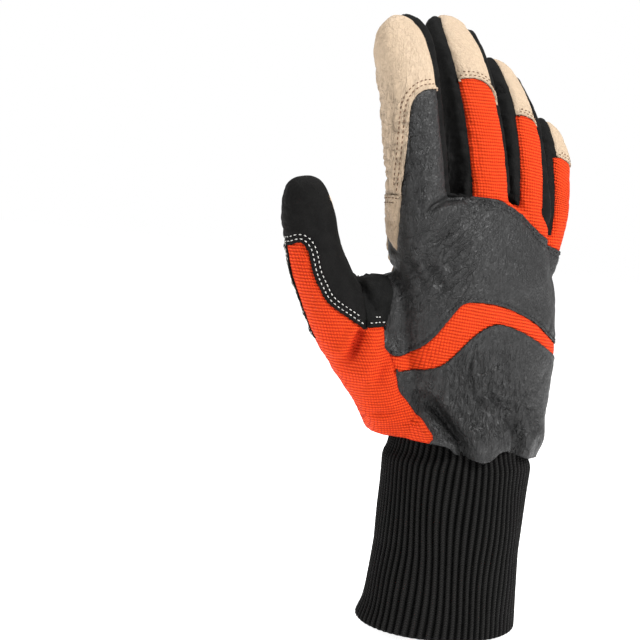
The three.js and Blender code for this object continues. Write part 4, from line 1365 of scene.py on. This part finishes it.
def edge_lines(panel, beside, offset):
    """Lines on a panel at a distance from its edge where it meets the neighbours, with their normals."""
    value = panel.edge_distance - offset
    tri = panel.triangles[panel.beside(beside)[panel.triangles].all(1)]
    outer = value[tri] > 0
    edges = np.sort(triangle_edges(tri[outer.any(1) & ~outer.all(1)]), axis=1)
    count = len(panel.points)
    split = (value[edges[:, 0]] > 0) != (value[edges[:, 1]] > 0)
    ends = np.where(split, edge_keys(edges, count), -1).reshape(3, -1)
    beside_of = {}
    for a, b in np.sort(ends, axis=0)[1:].T.tolist():
        beside_of.setdefault(a, []).append(b)
        beside_of.setdefault(b, []).append(a)
    lines = []
    for chain in chains(beside_of):
        keys = np.array(chain)
        a, b = keys // count, keys % count
        t = (value[a] / (value[a] - value[b]))[:, None]
        points = panel.shown[a] * (1 - t) + panel.shown[b] * t
        normals = panel.shown_normals[a] * (1 - t) + panel.shown_normals[b] * t
        lines.append((points, unit(normals)))
    return lines


def chains(beside_of):
    """Follows links from end to end, and gives each chain as a list."""
    left = dict(beside_of)
    starts = [key for key, links in beside_of.items() if len(links) == 1] + list(beside_of)
    found = []
    for start in starts:
        if start not in left:
            continue
        chain = [start]
        while True:
            ahead = [key for key in left.pop(chain[-1]) if key in left]
            if not ahead:
                break
            chain.append(ahead[0])
        found.append(chain)
    return found


def laid_line(panel, line):
    """A line in x and z laid on the outside of a panel of the palm, with a point at each millimetre."""
    tree = BVHTree.FromPolygons(panel.shown.tolist(), panel.triangles.tolist())
    length = np.linalg.norm(np.diff(line, axis=0), axis=1).sum()
    share = np.linspace(0, 1, int(length) + 2)
    points, normals = [], []
    for x, z in zip(*(np.interp(share, np.linspace(0, 1, len(line)), column) for column in line.T)):
        place, normal, _, _ = tree.ray_cast((x, 2 * FAR, z), (0, -1, 0))
        if place is not None:
            points.append(place)
            normals.append(normal)
    return np.array(points), np.array(normals)


def sewn_lines(thread):
    """All the sewing lines of one thread, lifted so that half of the thread stands out of the leather."""
    found = []
    for row_thread, panel, beside, rows in STITCH_ROWS:
        if row_thread == thread:
            for row in rows:
                found += edge_lines(made[panel], beside, row)
    if thread == "brown":
        found += [laid_line(made["palm_patch"], seam_points(row[-1])) for row in PALM_LINES]
    lines = []
    for points, normals in found:
        if len(points) > SHORTEST_LINE:
            normals = unit(smoothed(normals, LINE_ROUNDS))
            lines.append((smoothed(points, LINE_ROUNDS) + normals * STITCH_RISE, normals))
    return lines


def geometry_tree(name, inputs):
    """A Geometry Nodes tree with named inputs: its helper, its inputs and their socket identifiers."""
    tree = bpy.data.node_groups.new(name, "GeometryNodeTree")
    sockets = {}
    for key, kind in (("Geometry", "Geometry"), *inputs):
        socket = tree.interface.new_socket(key, in_out="INPUT", socket_type="NodeSocket" + kind)
        sockets[key] = socket.identifier
    tree.interface.new_socket("Geometry", in_out="OUTPUT", socket_type="NodeSocketGeometry")
    n = Nodes(tree)
    return n, n.add("NodeGroupInput").outputs, sockets


def node_result(piece, tree, values):
    """Gives a piece the plain mesh that a Geometry Nodes tree makes of it."""
    modifier = piece.modifiers.new("nodes", "NODES")
    modifier.node_group = tree
    for identifier, value in values.items():
        modifier[identifier] = value
    depsgraph = bpy.context.evaluated_depsgraph_get()
    mesh = bpy.data.meshes.new_from_object(piece.evaluated_get(depsgraph))
    mesh.name = piece.name
    piece.modifiers.clear()
    piece.data = mesh


def stitch_tree():
    """Geometry Nodes that lay one stitch after another along sewing lines."""
    n, given, sockets = geometry_tree("stitches along lines", (
        ("Stitch pitch", "Float"), ("Stitch length", "Float"), ("Thread width", "Float"),
        ("Uneven length", "Float"), ("Seed", "Int"), ("Thread", "Material")))
    curve = n.feed(n.add("GeometryNodeMeshToCurve"), Mesh=given["Geometry"])
    spaced = n.feed(n.add("GeometryNodeResampleCurve", mode="LENGTH"), Curve=curve.outputs["Curve"],
                    Length=given["Stitch pitch"])
    turn = n.feed(n.add("FunctionNodeAxesToRotation", primary_axis="X", secondary_axis="Z"),
                  Primary_Axis=n.add("GeometryNodeInputTangent").outputs["Tangent"],
                  Secondary_Axis=n.kept("outwards", "FLOAT_VECTOR"))
    uneven = n.feed(n.add("FunctionNodeRandomValue", data_type="FLOAT"), Seed=given["Seed"])
    least, most = [socket for socket in uneven.inputs if socket.enabled and socket.name in ("Min", "Max")]
    n.put(least, n.math("SUBTRACT", 1.0, given["Uneven length"]))
    n.put(most, 1.0)
    random_value = next(socket for socket in uneven.outputs if socket.enabled)
    size = n.feed(n.add("ShaderNodeCombineXYZ"), n.math("MULTIPLY", random_value, given["Stitch length"]),
                  given["Thread width"], given["Thread width"])
    thread = n.add("GeometryNodeMeshUVSphere", Segments=6, Rings=5, Radius=0.5)
    placed = n.feed(n.add("GeometryNodeInstanceOnPoints"), Points=spaced.outputs["Curve"],
                    Instance=thread.outputs["Mesh"], Rotation=turn.outputs["Rotation"],
                    Scale=size.outputs["Vector"])
    real = n.feed(n.add("GeometryNodeRealizeInstances"), Geometry=placed.outputs["Instances"])
    smooth = n.feed(n.add("GeometryNodeSetShadeSmooth"), Geometry=real.outputs["Geometry"])
    n.end(smooth.outputs["Geometry"], given["Thread"])
    return n.tree, sockets


def sew(thread, slot, seed):
    """Sews all the rows of one thread as a piece of their own."""
    lines = sewn_lines(thread)
    edges, count = [], 0
    for line, _ in lines:
        edges += [(k, k + 1) for k in range(count, count + len(line) - 1)]
        count += len(line)
    outwards = np.concatenate([normals for _, normals in lines])
    piece = make_object(thread + "_stitches", np.concatenate([line for line, _ in lines]), [], edges,
                        attributes=[("outwards", outwards)])
    tree, sockets = stitch_tree()
    given = sizes()
    node_result(piece, tree, {
        sockets["Stitch pitch"]: given.stitch_pitch,
        sockets["Stitch length"]: given.stitch_length,
        sockets["Thread width"]: given.thread_width,
        sockets["Uneven length"]: STITCH_UNEVEN,
        sockets["Seed"]: seed,
        sockets["Thread"]: material(thread + "_thread"),
    })
    finish_piece(piece, slot)


# Materials

def shade(colour, factor):
    return tuple(min(1.0, channel * factor) for channel in colour)


def leather_material(name, colour, grain, shine, gloss, mottle, crease, dark, fold, relief):
    """Soft leather: fine grain and uneven dye, with painted shade in its stretched creases, in its folds and
    along its sewn edges.
    """
    n = Surface(name)
    broad = n.noise(60.0, 3.0, 0.5)
    patches = n.noise(280.0)
    fine = n.noise(grain, 2.0, 0.6)
    pebbles = n.spread(n.cells(grain * 0.8), 0.1, 0.75)
    stretched = n.noise(520.0, 3.0, 0.6, 0.3, place=n.mapped(n.place, Scale=(1.0, 1.0, 0.28)))
    lines = n.spread(n.from_middle(stretched), 0.0, 0.07)
    creases = n.math("MAXIMUM", n.crinkles(n.attribute("upright"), 4.0),
                     n.crinkles(n.attribute("slanting"), -48.0))
    tone = n.tones(
        shade(colour, 1 - 0.5 * mottle), shade(colour, 1 + 0.3 * mottle), n.spread(broad, 0.3, 0.7),
        (n.spread(patches, 0.35, 0.7), shade(colour, 1 + 0.5 * mottle)),
        (n.spread(fine, 0.35, 0.65, 0.8, 0.0), shade(colour, 1 - 0.9 * mottle)),
        (n.spread(pebbles, 0.0, 0.5, 0.5, 0.0), shade(colour, 1 - 1.5 * mottle)),
        # Painted shade in the fine stretched lines and in the crinkles
        (n.spread(lines, 0.0, 1.0, crease, 0.0), shade(colour, 1 - 1.6 * mottle)),
        (n.math("MULTIPLY", creases, crease), shade(colour, 1 - 1.8 * mottle)),
        # Painted shade along the sewn edges
        (n.spread(n.attribute("edge"), 0.0, 1.4, 0.5, 0.0), shade(colour, 0.5)),
        # Painted shade in the folds, darkest where a fold is deep
        (n.spread(n.attribute("hollow"), 0.05, fold, 0.0, dark), shade(colour, 0.1)),
    )
    normal = n.bumps((pebbles, 0.0003, relief), (fine, 0.0003, relief), (lines, 0.0002, 0.6),
                     (patches, 0.0014, relief), (n.math("SUBTRACT", 1.0, creases), 0.0006, 0.9))
    return n.finish(tone, n.spread(patches, 0.3, 0.7, shine + 0.07, shine - 0.05), normal, gloss)


def textile_material(name, colour, weave, roughness, uneven):
    """Close black textile or smooth leather, with a soft uneven face."""
    n = Surface(name)
    threads = n.cells(weave)
    patches = n.noise(170.0, 3.0, 0.6)
    tone = n.tones(
        shade(colour, 1 - 0.5 * uneven), shade(colour, 1 + uneven), n.spread(patches, 0.3, 0.7),
        (n.spread(threads, 0.1, 0.6, 0.0, 0.5), shade(colour, 0.45)),
    )
    rough = n.spread(patches, 0.3, 0.7, roughness - 0.05, roughness + 0.05)
    return n.finish(tone, rough, n.bumps((threads, 0.0002, 0.7), (patches, 0.0014, 0.5)), 0.08)


def rib_fabric_material(name, colour, pitch):
    """Woven ribs and the fine threads that cross them, along the rib and warp lengths kept on the fabric,
    with a painted highlight on the ribs and painted shade in the grooves, along the seams and in the folds.
    """
    n = Surface(name)
    wobble = n.math("MULTIPLY", n.math("SUBTRACT", n.noise(120.0, 2.0), 0.5), 0.5)
    ridge = n.waves(n.math("ADD", n.attribute("rib"), wobble), pitch)
    warp = n.waves(n.math("ADD", n.attribute("warp"), wobble), WARP_PITCH)
    threads = n.noise(2600.0, 2.0, 0.6)
    patches = n.noise(90.0)
    red, green, blue = colour
    # Lit and shaded copies of the orange: deep is the shaded one, for painted shade and for the darker
    # crossing threads, and the brighter one is for a painted highlight
    deep = (red * 0.55, green * 0.3, blue * 0.35)
    rib_highlight = (red * 1.08, green * 1.5, blue * 1.6)
    crossing = n.math("MULTIPLY", n.spread(warp, 0.0, 0.4, 0.75, 0.0),
                      n.spread(patches, 0.36, 0.6, 0.25, 1.0))
    tone = n.tones(
        shade(colour, 0.86), shade(colour, 1.08), n.spread(patches, 0.3, 0.7),
        # Painted highlight on the rib tops and painted shade in the grooves between them
        (n.spread(ridge, 0.5, 1.0, 0.0, 0.45), rib_highlight),
        (n.spread(ridge, 0.0, 0.55, 0.85, 0.0), deep),
        (crossing, deep),
        # Painted shade along the seams
        (n.spread(n.attribute("edge"), 0.0, 1.2, 0.5, 0.0), deep),
        # Painted shade in the folds
        (n.spread(n.attribute("hollow"), 0.1, 2.4, 0.0, 0.85), deep),
    )
    normal = n.bumps((ridge, 0.0006, 0.8), (warp, 0.00025, 0.6), (threads, 0.0001, 0.5))
    return n.finish(tone, n.spread(threads, 0.3, 0.7, 0.7, 0.85), normal, 0.1)


def knit_material(name, colour):
    """Rib knit: rows of small slanting loops on each rib, with a painted highlight on the ribs and painted
    shade between the loops and, darkest, between the ribs.
    """
    n = Surface(name)
    rib = n.attribute("rib")
    ridge = n.math("ABSOLUTE", n.math("COSINE", n.math("MULTIPLY", rib, math.pi)))
    slant = n.from_middle(n.math("FRACT", n.math("ADD", rib, 0.5)))
    loops = n.waves(n.math("ADD", n.attribute("row"), n.math("MULTIPLY", slant, 2.2)), LOOP_PITCH)
    fuzz = n.noise(1800.0, 3.0, 0.6)
    tone = n.tones(
        shade(colour, 0.8), shade(colour, 1.3), n.spread(n.noise(60.0), 0.3, 0.7),
        # Painted highlight on the rib tops, painted shade between the loops and deep painted shade between
        # the ribs
        (n.spread(ridge, 0.6, 1.0, 0.0, 0.85), shade(colour, 2.6)),
        (n.spread(loops, 0.0, 0.5, 0.6, 0.0), shade(colour, 0.5)),
        (n.spread(ridge, 0.2, 0.8, 0.97, 0.0), shade(colour, 0.03)),
    )
    rough = n.spread(fuzz, 0.3, 0.7, 0.7, 0.85)
    return n.finish(tone, rough, n.bumps((loops, 0.0003, 0.7), (fuzz, 0.00015, 0.5)), 0.06)


def thread_material(name, colour):
    """Twisted sewing thread."""
    n = Surface(name)
    twist = n.noise(2600.0, 1.0, 0.4)
    tone = n.tones(
        shade(colour, 0.8), shade(colour, 1.15), n.spread(n.noise(200.0, 2.0), 0.3, 0.7),
        (n.spread(twist, 0.35, 0.6, 0.35, 0.0), shade(colour, 0.5)),
    )
    return n.finish(tone, n.spread(twist, 0.3, 0.7, 0.5, 0.65), n.bumps((twist, 0.0001, 0.6)), 0.3)


looks = {}


def material(key):
    """The material for one of the glove's colours, made once."""
    if key not in looks:
        name, colour = key.replace("_", " "), tuple(getattr(colours(), key))
        if key in LEATHERS:
            looks[key] = leather_material(name, colour, **LEATHERS[key])
        elif key in TEXTILES:
            looks[key] = textile_material(name, colour, **TEXTILES[key])
        elif key == "orange_fabric":
            looks[key] = rib_fabric_material(name, colour, sizes().fabric_rib_pitch / MM)
        elif key == "black_knit":
            looks[key] = knit_material(name, colour)
        else:
            looks[key] = thread_material(name, colour)
    return looks[key]


# Panels

class GLOVE_OT_back_leather(bpy.types.Operator):
    """Makes the black leather panels on the back of the hand and the index finger"""

    bl_idname = "glove.back_leather"
    bl_label = "Back leather"

    def execute(self, context):
        for name in ("back_upper", "back_lower"):
            build_panel(name, "black_leather")
        return {"FINISHED"}


def rib_coordinate(panel):
    """Where points lie across the ribs and across the threads that cross them, in millimetres.

    Ribs run across the hand. They are tilted on the thumb's side, and lie straight across each finger.
    """
    x, y, z = panel.points.T
    if panel.name == "thumb_side":
        tilt = np.radians(4.0 + 16.0 * smooth_step((x + 75.0) / 40.0))
        return [("rib", z - np.tan(tilt) * (x + 60.0)), ("warp", x - 0.35 * y + 0.5 * z)]
    if panel.name == "back_wave":
        return [("rib", z + 0.08 * x), ("warp", x)]
    fingers = (1, 2, 3)
    places = np.stack([limb_columns(panel.data, finger) for finger in fingers])
    nearest = np.argmin(np.hypot(places[:, :, 1], places[:, :, 2]), axis=0)
    lean = np.tan(np.radians([FINGERS[finger]["splay"] for finger in fingers]))[nearest]
    root = np.array([FINGERS[finger]["across"] for finger in fingers])[nearest] * HAND_WIDTH
    on_finger = smooth_step((z - HEM_HEIGHT - HAND_LENGTH) / 15.0)
    return [("rib", z + on_finger * lean * (x - root)), ("warp", x - on_finger * lean * (z - 200.0))]


class GLOVE_OT_orange_fabric(bpy.types.Operator):
    """Makes the orange rib fabric over the knuckles, across the back and on the thumb's side"""

    bl_idname = "glove.orange_fabric"
    bl_label = "Orange rib fabric"

    def execute(self, context):
        for name in ("knuckle_fabric", "back_wave", "thumb_side"):
            build_panel(name, "orange_fabric", attributes=rib_coordinate)
        return {"FINISHED"}


def stretched_strip(panel):
    """The stretch strips swell between their seams and wrinkle at the roots of the fingers."""
    away = smooth_step(panel.edge_distance / 4.0)
    low = smooth_step((HEM_HEIGHT + 1.2 * HAND_LENGTH - panel.points[:, 2]) / 12.0)
    return away * (1.0 + 0.5 * low * cloud(panel.points, 3.5, 47))


class GLOVE_OT_side_strips(bpy.types.Operator):
    """Makes the black stretch strips between the fingers and in the web of the thumb"""

    bl_idname = "glove.side_strips"
    bl_label = "Side strips"

    def execute(self, context):
        for name in ("side_index_middle", "side_middle_ring", "side_ring_little", "thumb_gusset"):
            build_panel(name, "black_textile", lift=stretched_strip)
        return {"FINISHED"}


class GLOVE_OT_thumb_cover(bpy.types.Operator):
    """Makes the soft black cover over the back of the thumb"""

    bl_idname = "glove.thumb_cover"
    bl_label = "Thumb cover"

    def execute(self, context):
        build_panel("thumb_cover", "thumb_cover", "black_suede")
        return {"FINISHED"}


class GLOVE_OT_palm_leather(bpy.types.Operator):
    """Makes the cream leather of the palm, its patch and the thumb's front"""

    bl_idname = "glove.palm_leather"
    bl_label = "Palm leather"

    def execute(self, context):
        for name in ("palm_leather", "palm_patch", "thumb_front"):
            build_panel(name, "cream_leather")
        return {"FINISHED"}


class GLOVE_OT_stitches(bpy.types.Operator):
    """Sews the brown, white and black rows of stitches"""

    bl_idname = "glove.stitches"
    bl_label = "Stitches"

    def execute(self, context):
        sew("brown", "cream_leather", 3)
        sew("white", "black_suede", 5)
        sew("black", "black_leather", 7)
        return {"FINISHED"}


# Knit cuff

def cuff_form():
    """The cuff's smooth outer face and its coarser inner face, with each outer point's place in the ribs."""
    ribs = sizes().rib_count
    up = np.linspace(0.0, 1.0, CUFF_ROWS)
    width, thick = (smoothed(np.interp(up, CUFF_SECTIONS[:, 0], CUFF_SECTIONS[:, k]), 8) for k in (1, 2))
    a = 0.5 * CUFF_WIDTH * width[:, None]
    b = 0.5 * CUFF_DEPTH * thick[:, None]
    sides = ribs * CUFF_SIDES_PER_RIB
    row_up, turn = np.meshgrid(up, np.arange(sides) / sides * 2 * math.pi, indexing="ij")
    around = np.stack((np.cos(turn), np.sin(turn)), axis=-1)
    # The mouth hangs lowest on one side and flares on another, and its edge is rolled in
    hem_drop = 1.3 * (1 + np.cos(turn - CUFF_LOW_TURN)) * smooth_step(1 - row_up * 3)
    height = row_up * CUFF_LENGTH - hem_drop
    over_mouth = row_up * CUFF_LENGTH
    flare = 2.4 * bell(np.maximum(over_mouth, 0), 6.5) * (0.5 + 0.5 * np.cos(turn - CUFF_FLARE_TURN)) ** 2
    rolled = 1.7 * (1 - np.sqrt(np.clip(1 - np.clip(1 - over_mouth / 2.2, 0, 1) ** 2, 0, 1)))
    # Between its ends the knit lies in soft puckers, and the ribs lean a little to both sides
    pucker = cloud(np.dstack((30 * around, 0.45 * height)).reshape(-1, 3), 11.0, 53).reshape(row_up.shape)
    out = flare - rolled + 0.7 * pucker * smooth_step(row_up * 6) * smooth_step((1 - row_up) * 6)
    lean = 0.5 * np.sin(height / 29.0 + 1.7 * around[:, :, 1]) + 0.22 * np.sin(height / 12.0 + 4 * turn)
    wall = CUFF_WALL - flare
    outer = np.dstack(((a + out) * around[:, :, 0], (b + out) * around[:, :, 1], height))
    inner = np.dstack(((a - wall) * around[:, :, 0], (b - wall) * around[:, :, 1], height))
    return outer, inner[::CUFF_INNER_ROW, ::CUFF_INNER_STEP], turn / (2 * math.pi) * ribs + lean


def rim_faces(rows, sides, inner_rows, inner_sides):
    """Faces that close the cuff's mouth and its top, between the fine outer and the coarse inner points."""
    faces = []
    count = rows * sides
    for row, inner_row, flip in ((0, 0, False), (rows - 1, inner_rows - 1, True)):
        for side in range(inner_sides):
            first = side * CUFF_INNER_STEP
            fan = [row * sides + (first + step) % sides for step in range(CUFF_INNER_STEP + 1)]
            inner = [count + inner_row * inner_sides + number for number in (side, (side + 1) % inner_sides)]
            face = inner + fan[::-1]
            faces.append(face[::-1] if flip else face)
    return faces


def rib_tree():
    """Geometry Nodes that press the grooves between the ribs into the cuff."""
    n, given, sockets = geometry_tree("cuff ribs", (
        ("Rib depth", "Float"), ("Rib fullness", "Float"), ("Knit", "Material")))
    wave = n.math("ABSOLUTE", n.math("COSINE", n.math("MULTIPLY", n.kept("rib", "FLOAT"), math.pi)))
    groove = n.math("SUBTRACT", 1.0, n.math("POWER", wave, given["Rib fullness"]))
    inwards = n.math("MULTIPLY", n.math("MULTIPLY", groove, given["Rib depth"]), -1.0)
    offset = n.feed(n.add("ShaderNodeVectorMath", operation="SCALE"), n.kept("outwards", "FLOAT_VECTOR"),
                    Scale=inwards)
    pressed = n.feed(n.add("GeometryNodeSetPosition"), Geometry=given["Geometry"], Offset=offset.outputs[0])
    real = n.feed(n.add("GeometryNodeRealizeInstances"), Geometry=pressed.outputs["Geometry"])
    n.end(real.outputs["Geometry"], given["Knit"])
    return n.tree, sockets


class GLOVE_OT_knit_cuff(bpy.types.Operator):
    """Makes the rib-knit cuff"""

    bl_idname = "glove.knit_cuff"
    bl_label = "Knit cuff"

    def execute(self, context):
        outer, inner, rib = cuff_form()
        inner = np.concatenate((inner, outer[-1:, ::CUFF_INNER_STEP] * (0.97, 0.97, 1.0)))
        rows, sides = outer.shape[:2]
        inner_rows, inner_sides = inner.shape[:2]
        count = rows * sides
        points = np.concatenate((outer.reshape(-1, 3), inner.reshape(-1, 3)))
        outwards = unit(points * (1, 1, 0))
        outwards[count:] = 0.0
        inner_rib = np.tile(rib[0, ::CUFF_INNER_STEP], inner_rows)
        faces = ring_faces(rows, sides).tolist() + ring_faces(inner_rows, inner_sides, count, True).tolist()
        faces += rim_faces(rows, sides, inner_rows, inner_sides)
        piece = make_object("knit_cuff_shown", points, faces, attributes=[
            ("rib", np.concatenate((rib.ravel(), inner_rib))),
            ("row", points[:, 2]),
            ("outwards", outwards),
        ])
        tree, sockets = rib_tree()
        node_result(piece, tree, {
            sockets["Rib depth"]: sizes().rib_depth,
            sockets["Rib fullness"]: RIB_FULLNESS,
            sockets["Knit"]: material("black_knit"),
        })
        finish_piece(piece, "black_knit", "knit_cuff")
        return {"FINISHED"}


# Stage: floor, lights and the camera at the photograph's angle

def camera_axes():
    """The camera's directions to the right, up and back, turned to the photograph's angle."""
    azimuth = math.radians(CAMERA_AZIMUTH)
    elevation = math.radians(CAMERA_ELEVATION)
    roll = math.radians(CAMERA_ROLL)
    back = Vector((math.sin(azimuth) * math.cos(elevation), -math.cos(azimuth) * math.cos(elevation),
                   math.sin(elevation)))
    level = (-back).cross(Vector((0, 0, 1))).normalized()
    upright = level.cross(-back)
    right = level * math.cos(roll) + upright * math.sin(roll)
    up = upright * math.cos(roll) - level * math.sin(roll)
    return right, up, back


def add_camera(right, up, back):
    """A camera that shows the target at its pixel, with the glove as large as in the photograph."""
    data = bpy.data.cameras.new("camera")
    data.sensor_width = SENSOR_WIDTH
    data.lens = SENSOR_WIDTH * CAMERA_DISTANCE / (PICTURE_SIZE * PIXEL_SIZE)
    data.clip_start = 0.01
    data.clip_end = 50.0
    camera = bpy.data.objects.new("camera", data)
    sideways = (0.5 * PICTURE_SIZE - TARGET_PIXEL[0]) * PIXEL_SIZE
    upwards = (TARGET_PIXEL[1] - 0.5 * PICTURE_SIZE) * PIXEL_SIZE
    matrix = Matrix((right, up, back)).transposed().to_4x4()
    matrix.translation = Vector(CAMERA_TARGET) + right * sideways + up * upwards + back * CAMERA_DISTANCE
    camera.matrix_world = matrix
    bpy.context.scene.collection.objects.link(camera)
    bpy.context.scene.camera = camera


def add_light(name, place, size, energy):
    """A soft white light at a place, which shines on the middle of the glove."""
    data = bpy.data.lights.new(name, "AREA")
    data.shape = "RECTANGLE"
    data.size, data.size_y = size
    data.energy = energy
    light = bpy.data.objects.new(name, data)
    light.location = place
    light.rotation_euler = (Vector(CAMERA_TARGET) - place).to_track_quat("-Z", "Y").to_euler()
    bpy.context.scene.collection.objects.link(light)


def floor_material(back):
    """A pale floor that glows behind the glove, as a light table does, to meet the white behind it."""
    n = Surface("pale floor")
    uneven = n.noise(2.0, 2.0)
    glow = n.spread(n.facing(n.place, back), 0.03, 0.2, FLOOR_GLOW, FLOOR_GLOW_FRONT)
    n.feed(n.shader, Emission_Strength=glow, Emission_Color=(1.0, 1.0, 1.0))
    tone = n.tones((0.90, 0.90, 0.90), (0.93, 0.93, 0.93), n.spread(uneven, 0.3, 0.7))
    return n.finish(tone, n.spread(uneven, 0.3, 0.7, 0.85, 0.95), n.bumps((uneven, 0.0001, 0.1)), 0.1)


def studio_world(back):
    """White studio light, brightest behind the glove and softer in front of it."""
    world = bpy.data.worlds.new("studio")
    world.use_nodes = True
    n = Nodes(world.node_tree)
    behind = n.facing(n.add("ShaderNodeTexCoord").outputs["Generated"], -back)
    n.feed(n.tree.nodes["Background"], Color=(1.0, 1.0, 1.0),
           Strength=n.spread(behind, 0.7, 0.95, STUDIO_FRONT, STUDIO_BEHIND))
    return world


class GLOVE_OT_stage(bpy.types.Operator):
    """Makes the pale floor, the soft studio lights and the camera"""

    bl_idname = "glove.stage"
    bl_label = "Stage"

    def execute(self, context):
        right, up, back = camera_axes()
        add_camera(right, up, back)
        for name, (backwards, sideways, upwards), size, energy in LIGHTS:
            place = Vector(CAMERA_TARGET) + back * backwards + right * sideways + up * upwards
            add_light(name, place, size, energy)
        points = np.array([(x * FLOOR_REACH, y * FLOOR_REACH, -FLOOR_DROP)
                           for x, y in ((-1, -1), (1, -1), (1, 1), (-1, 1))]) / MM
        make_object("floor", points, [(0, 1, 2, 3)], material=floor_material(back))
        context.scene.world = studio_world(back)
        context.scene.view_settings.view_transform = "Standard"
        return {"FINISHED"}


class GLOVE_PT_panel(bpy.types.Panel):
    """The glove's panel in the sidebar"""

    bl_label = "Work glove"
    bl_idname = "GLOVE_PT_panel"
    bl_space_type = "VIEW_3D"
    bl_region_type = "UI"
    bl_category = "Glove"

    def draw(self, context):
        layout = self.layout
        for settings in (context.scene.glove_sizes, context.scene.glove_colours):
            box = layout.box()
            for key in settings.__annotations__:
                box.prop(settings, key)
        for operator in OPERATORS:
            layout.operator(operator.bl_idname)


OPERATORS = (
    GLOVE_OT_back_leather,
    GLOVE_OT_orange_fabric,
    GLOVE_OT_side_strips,
    GLOVE_OT_thumb_cover,
    GLOVE_OT_palm_leather,
    GLOVE_OT_stitches,
    GLOVE_OT_knit_cuff,
    GLOVE_OT_stage,
)
CLASSES = (GloveSizes, GloveColours, *OPERATORS, GLOVE_PT_panel)


def register():
    for cls in CLASSES:
        bpy.utils.register_class(cls)
    bpy.types.Scene.glove_sizes = bpy.props.PointerProperty(type=GloveSizes)
    bpy.types.Scene.glove_colours = bpy.props.PointerProperty(type=GloveColours)


def unregister():
    del bpy.types.Scene.glove_colours
    del bpy.types.Scene.glove_sizes
    for cls in reversed(CLASSES):
        bpy.utils.unregister_class(cls)


def main():
    register()
    bpy.ops.glove.back_leather()
    bpy.ops.glove.orange_fabric()
    bpy.ops.glove.side_strips()
    bpy.ops.glove.thumb_cover()
    bpy.ops.glove.palm_leather()
    bpy.ops.glove.stitches()
    bpy.ops.glove.knit_cuff()
    bpy.ops.glove.stage()


if __name__ == "__main__":
    main()
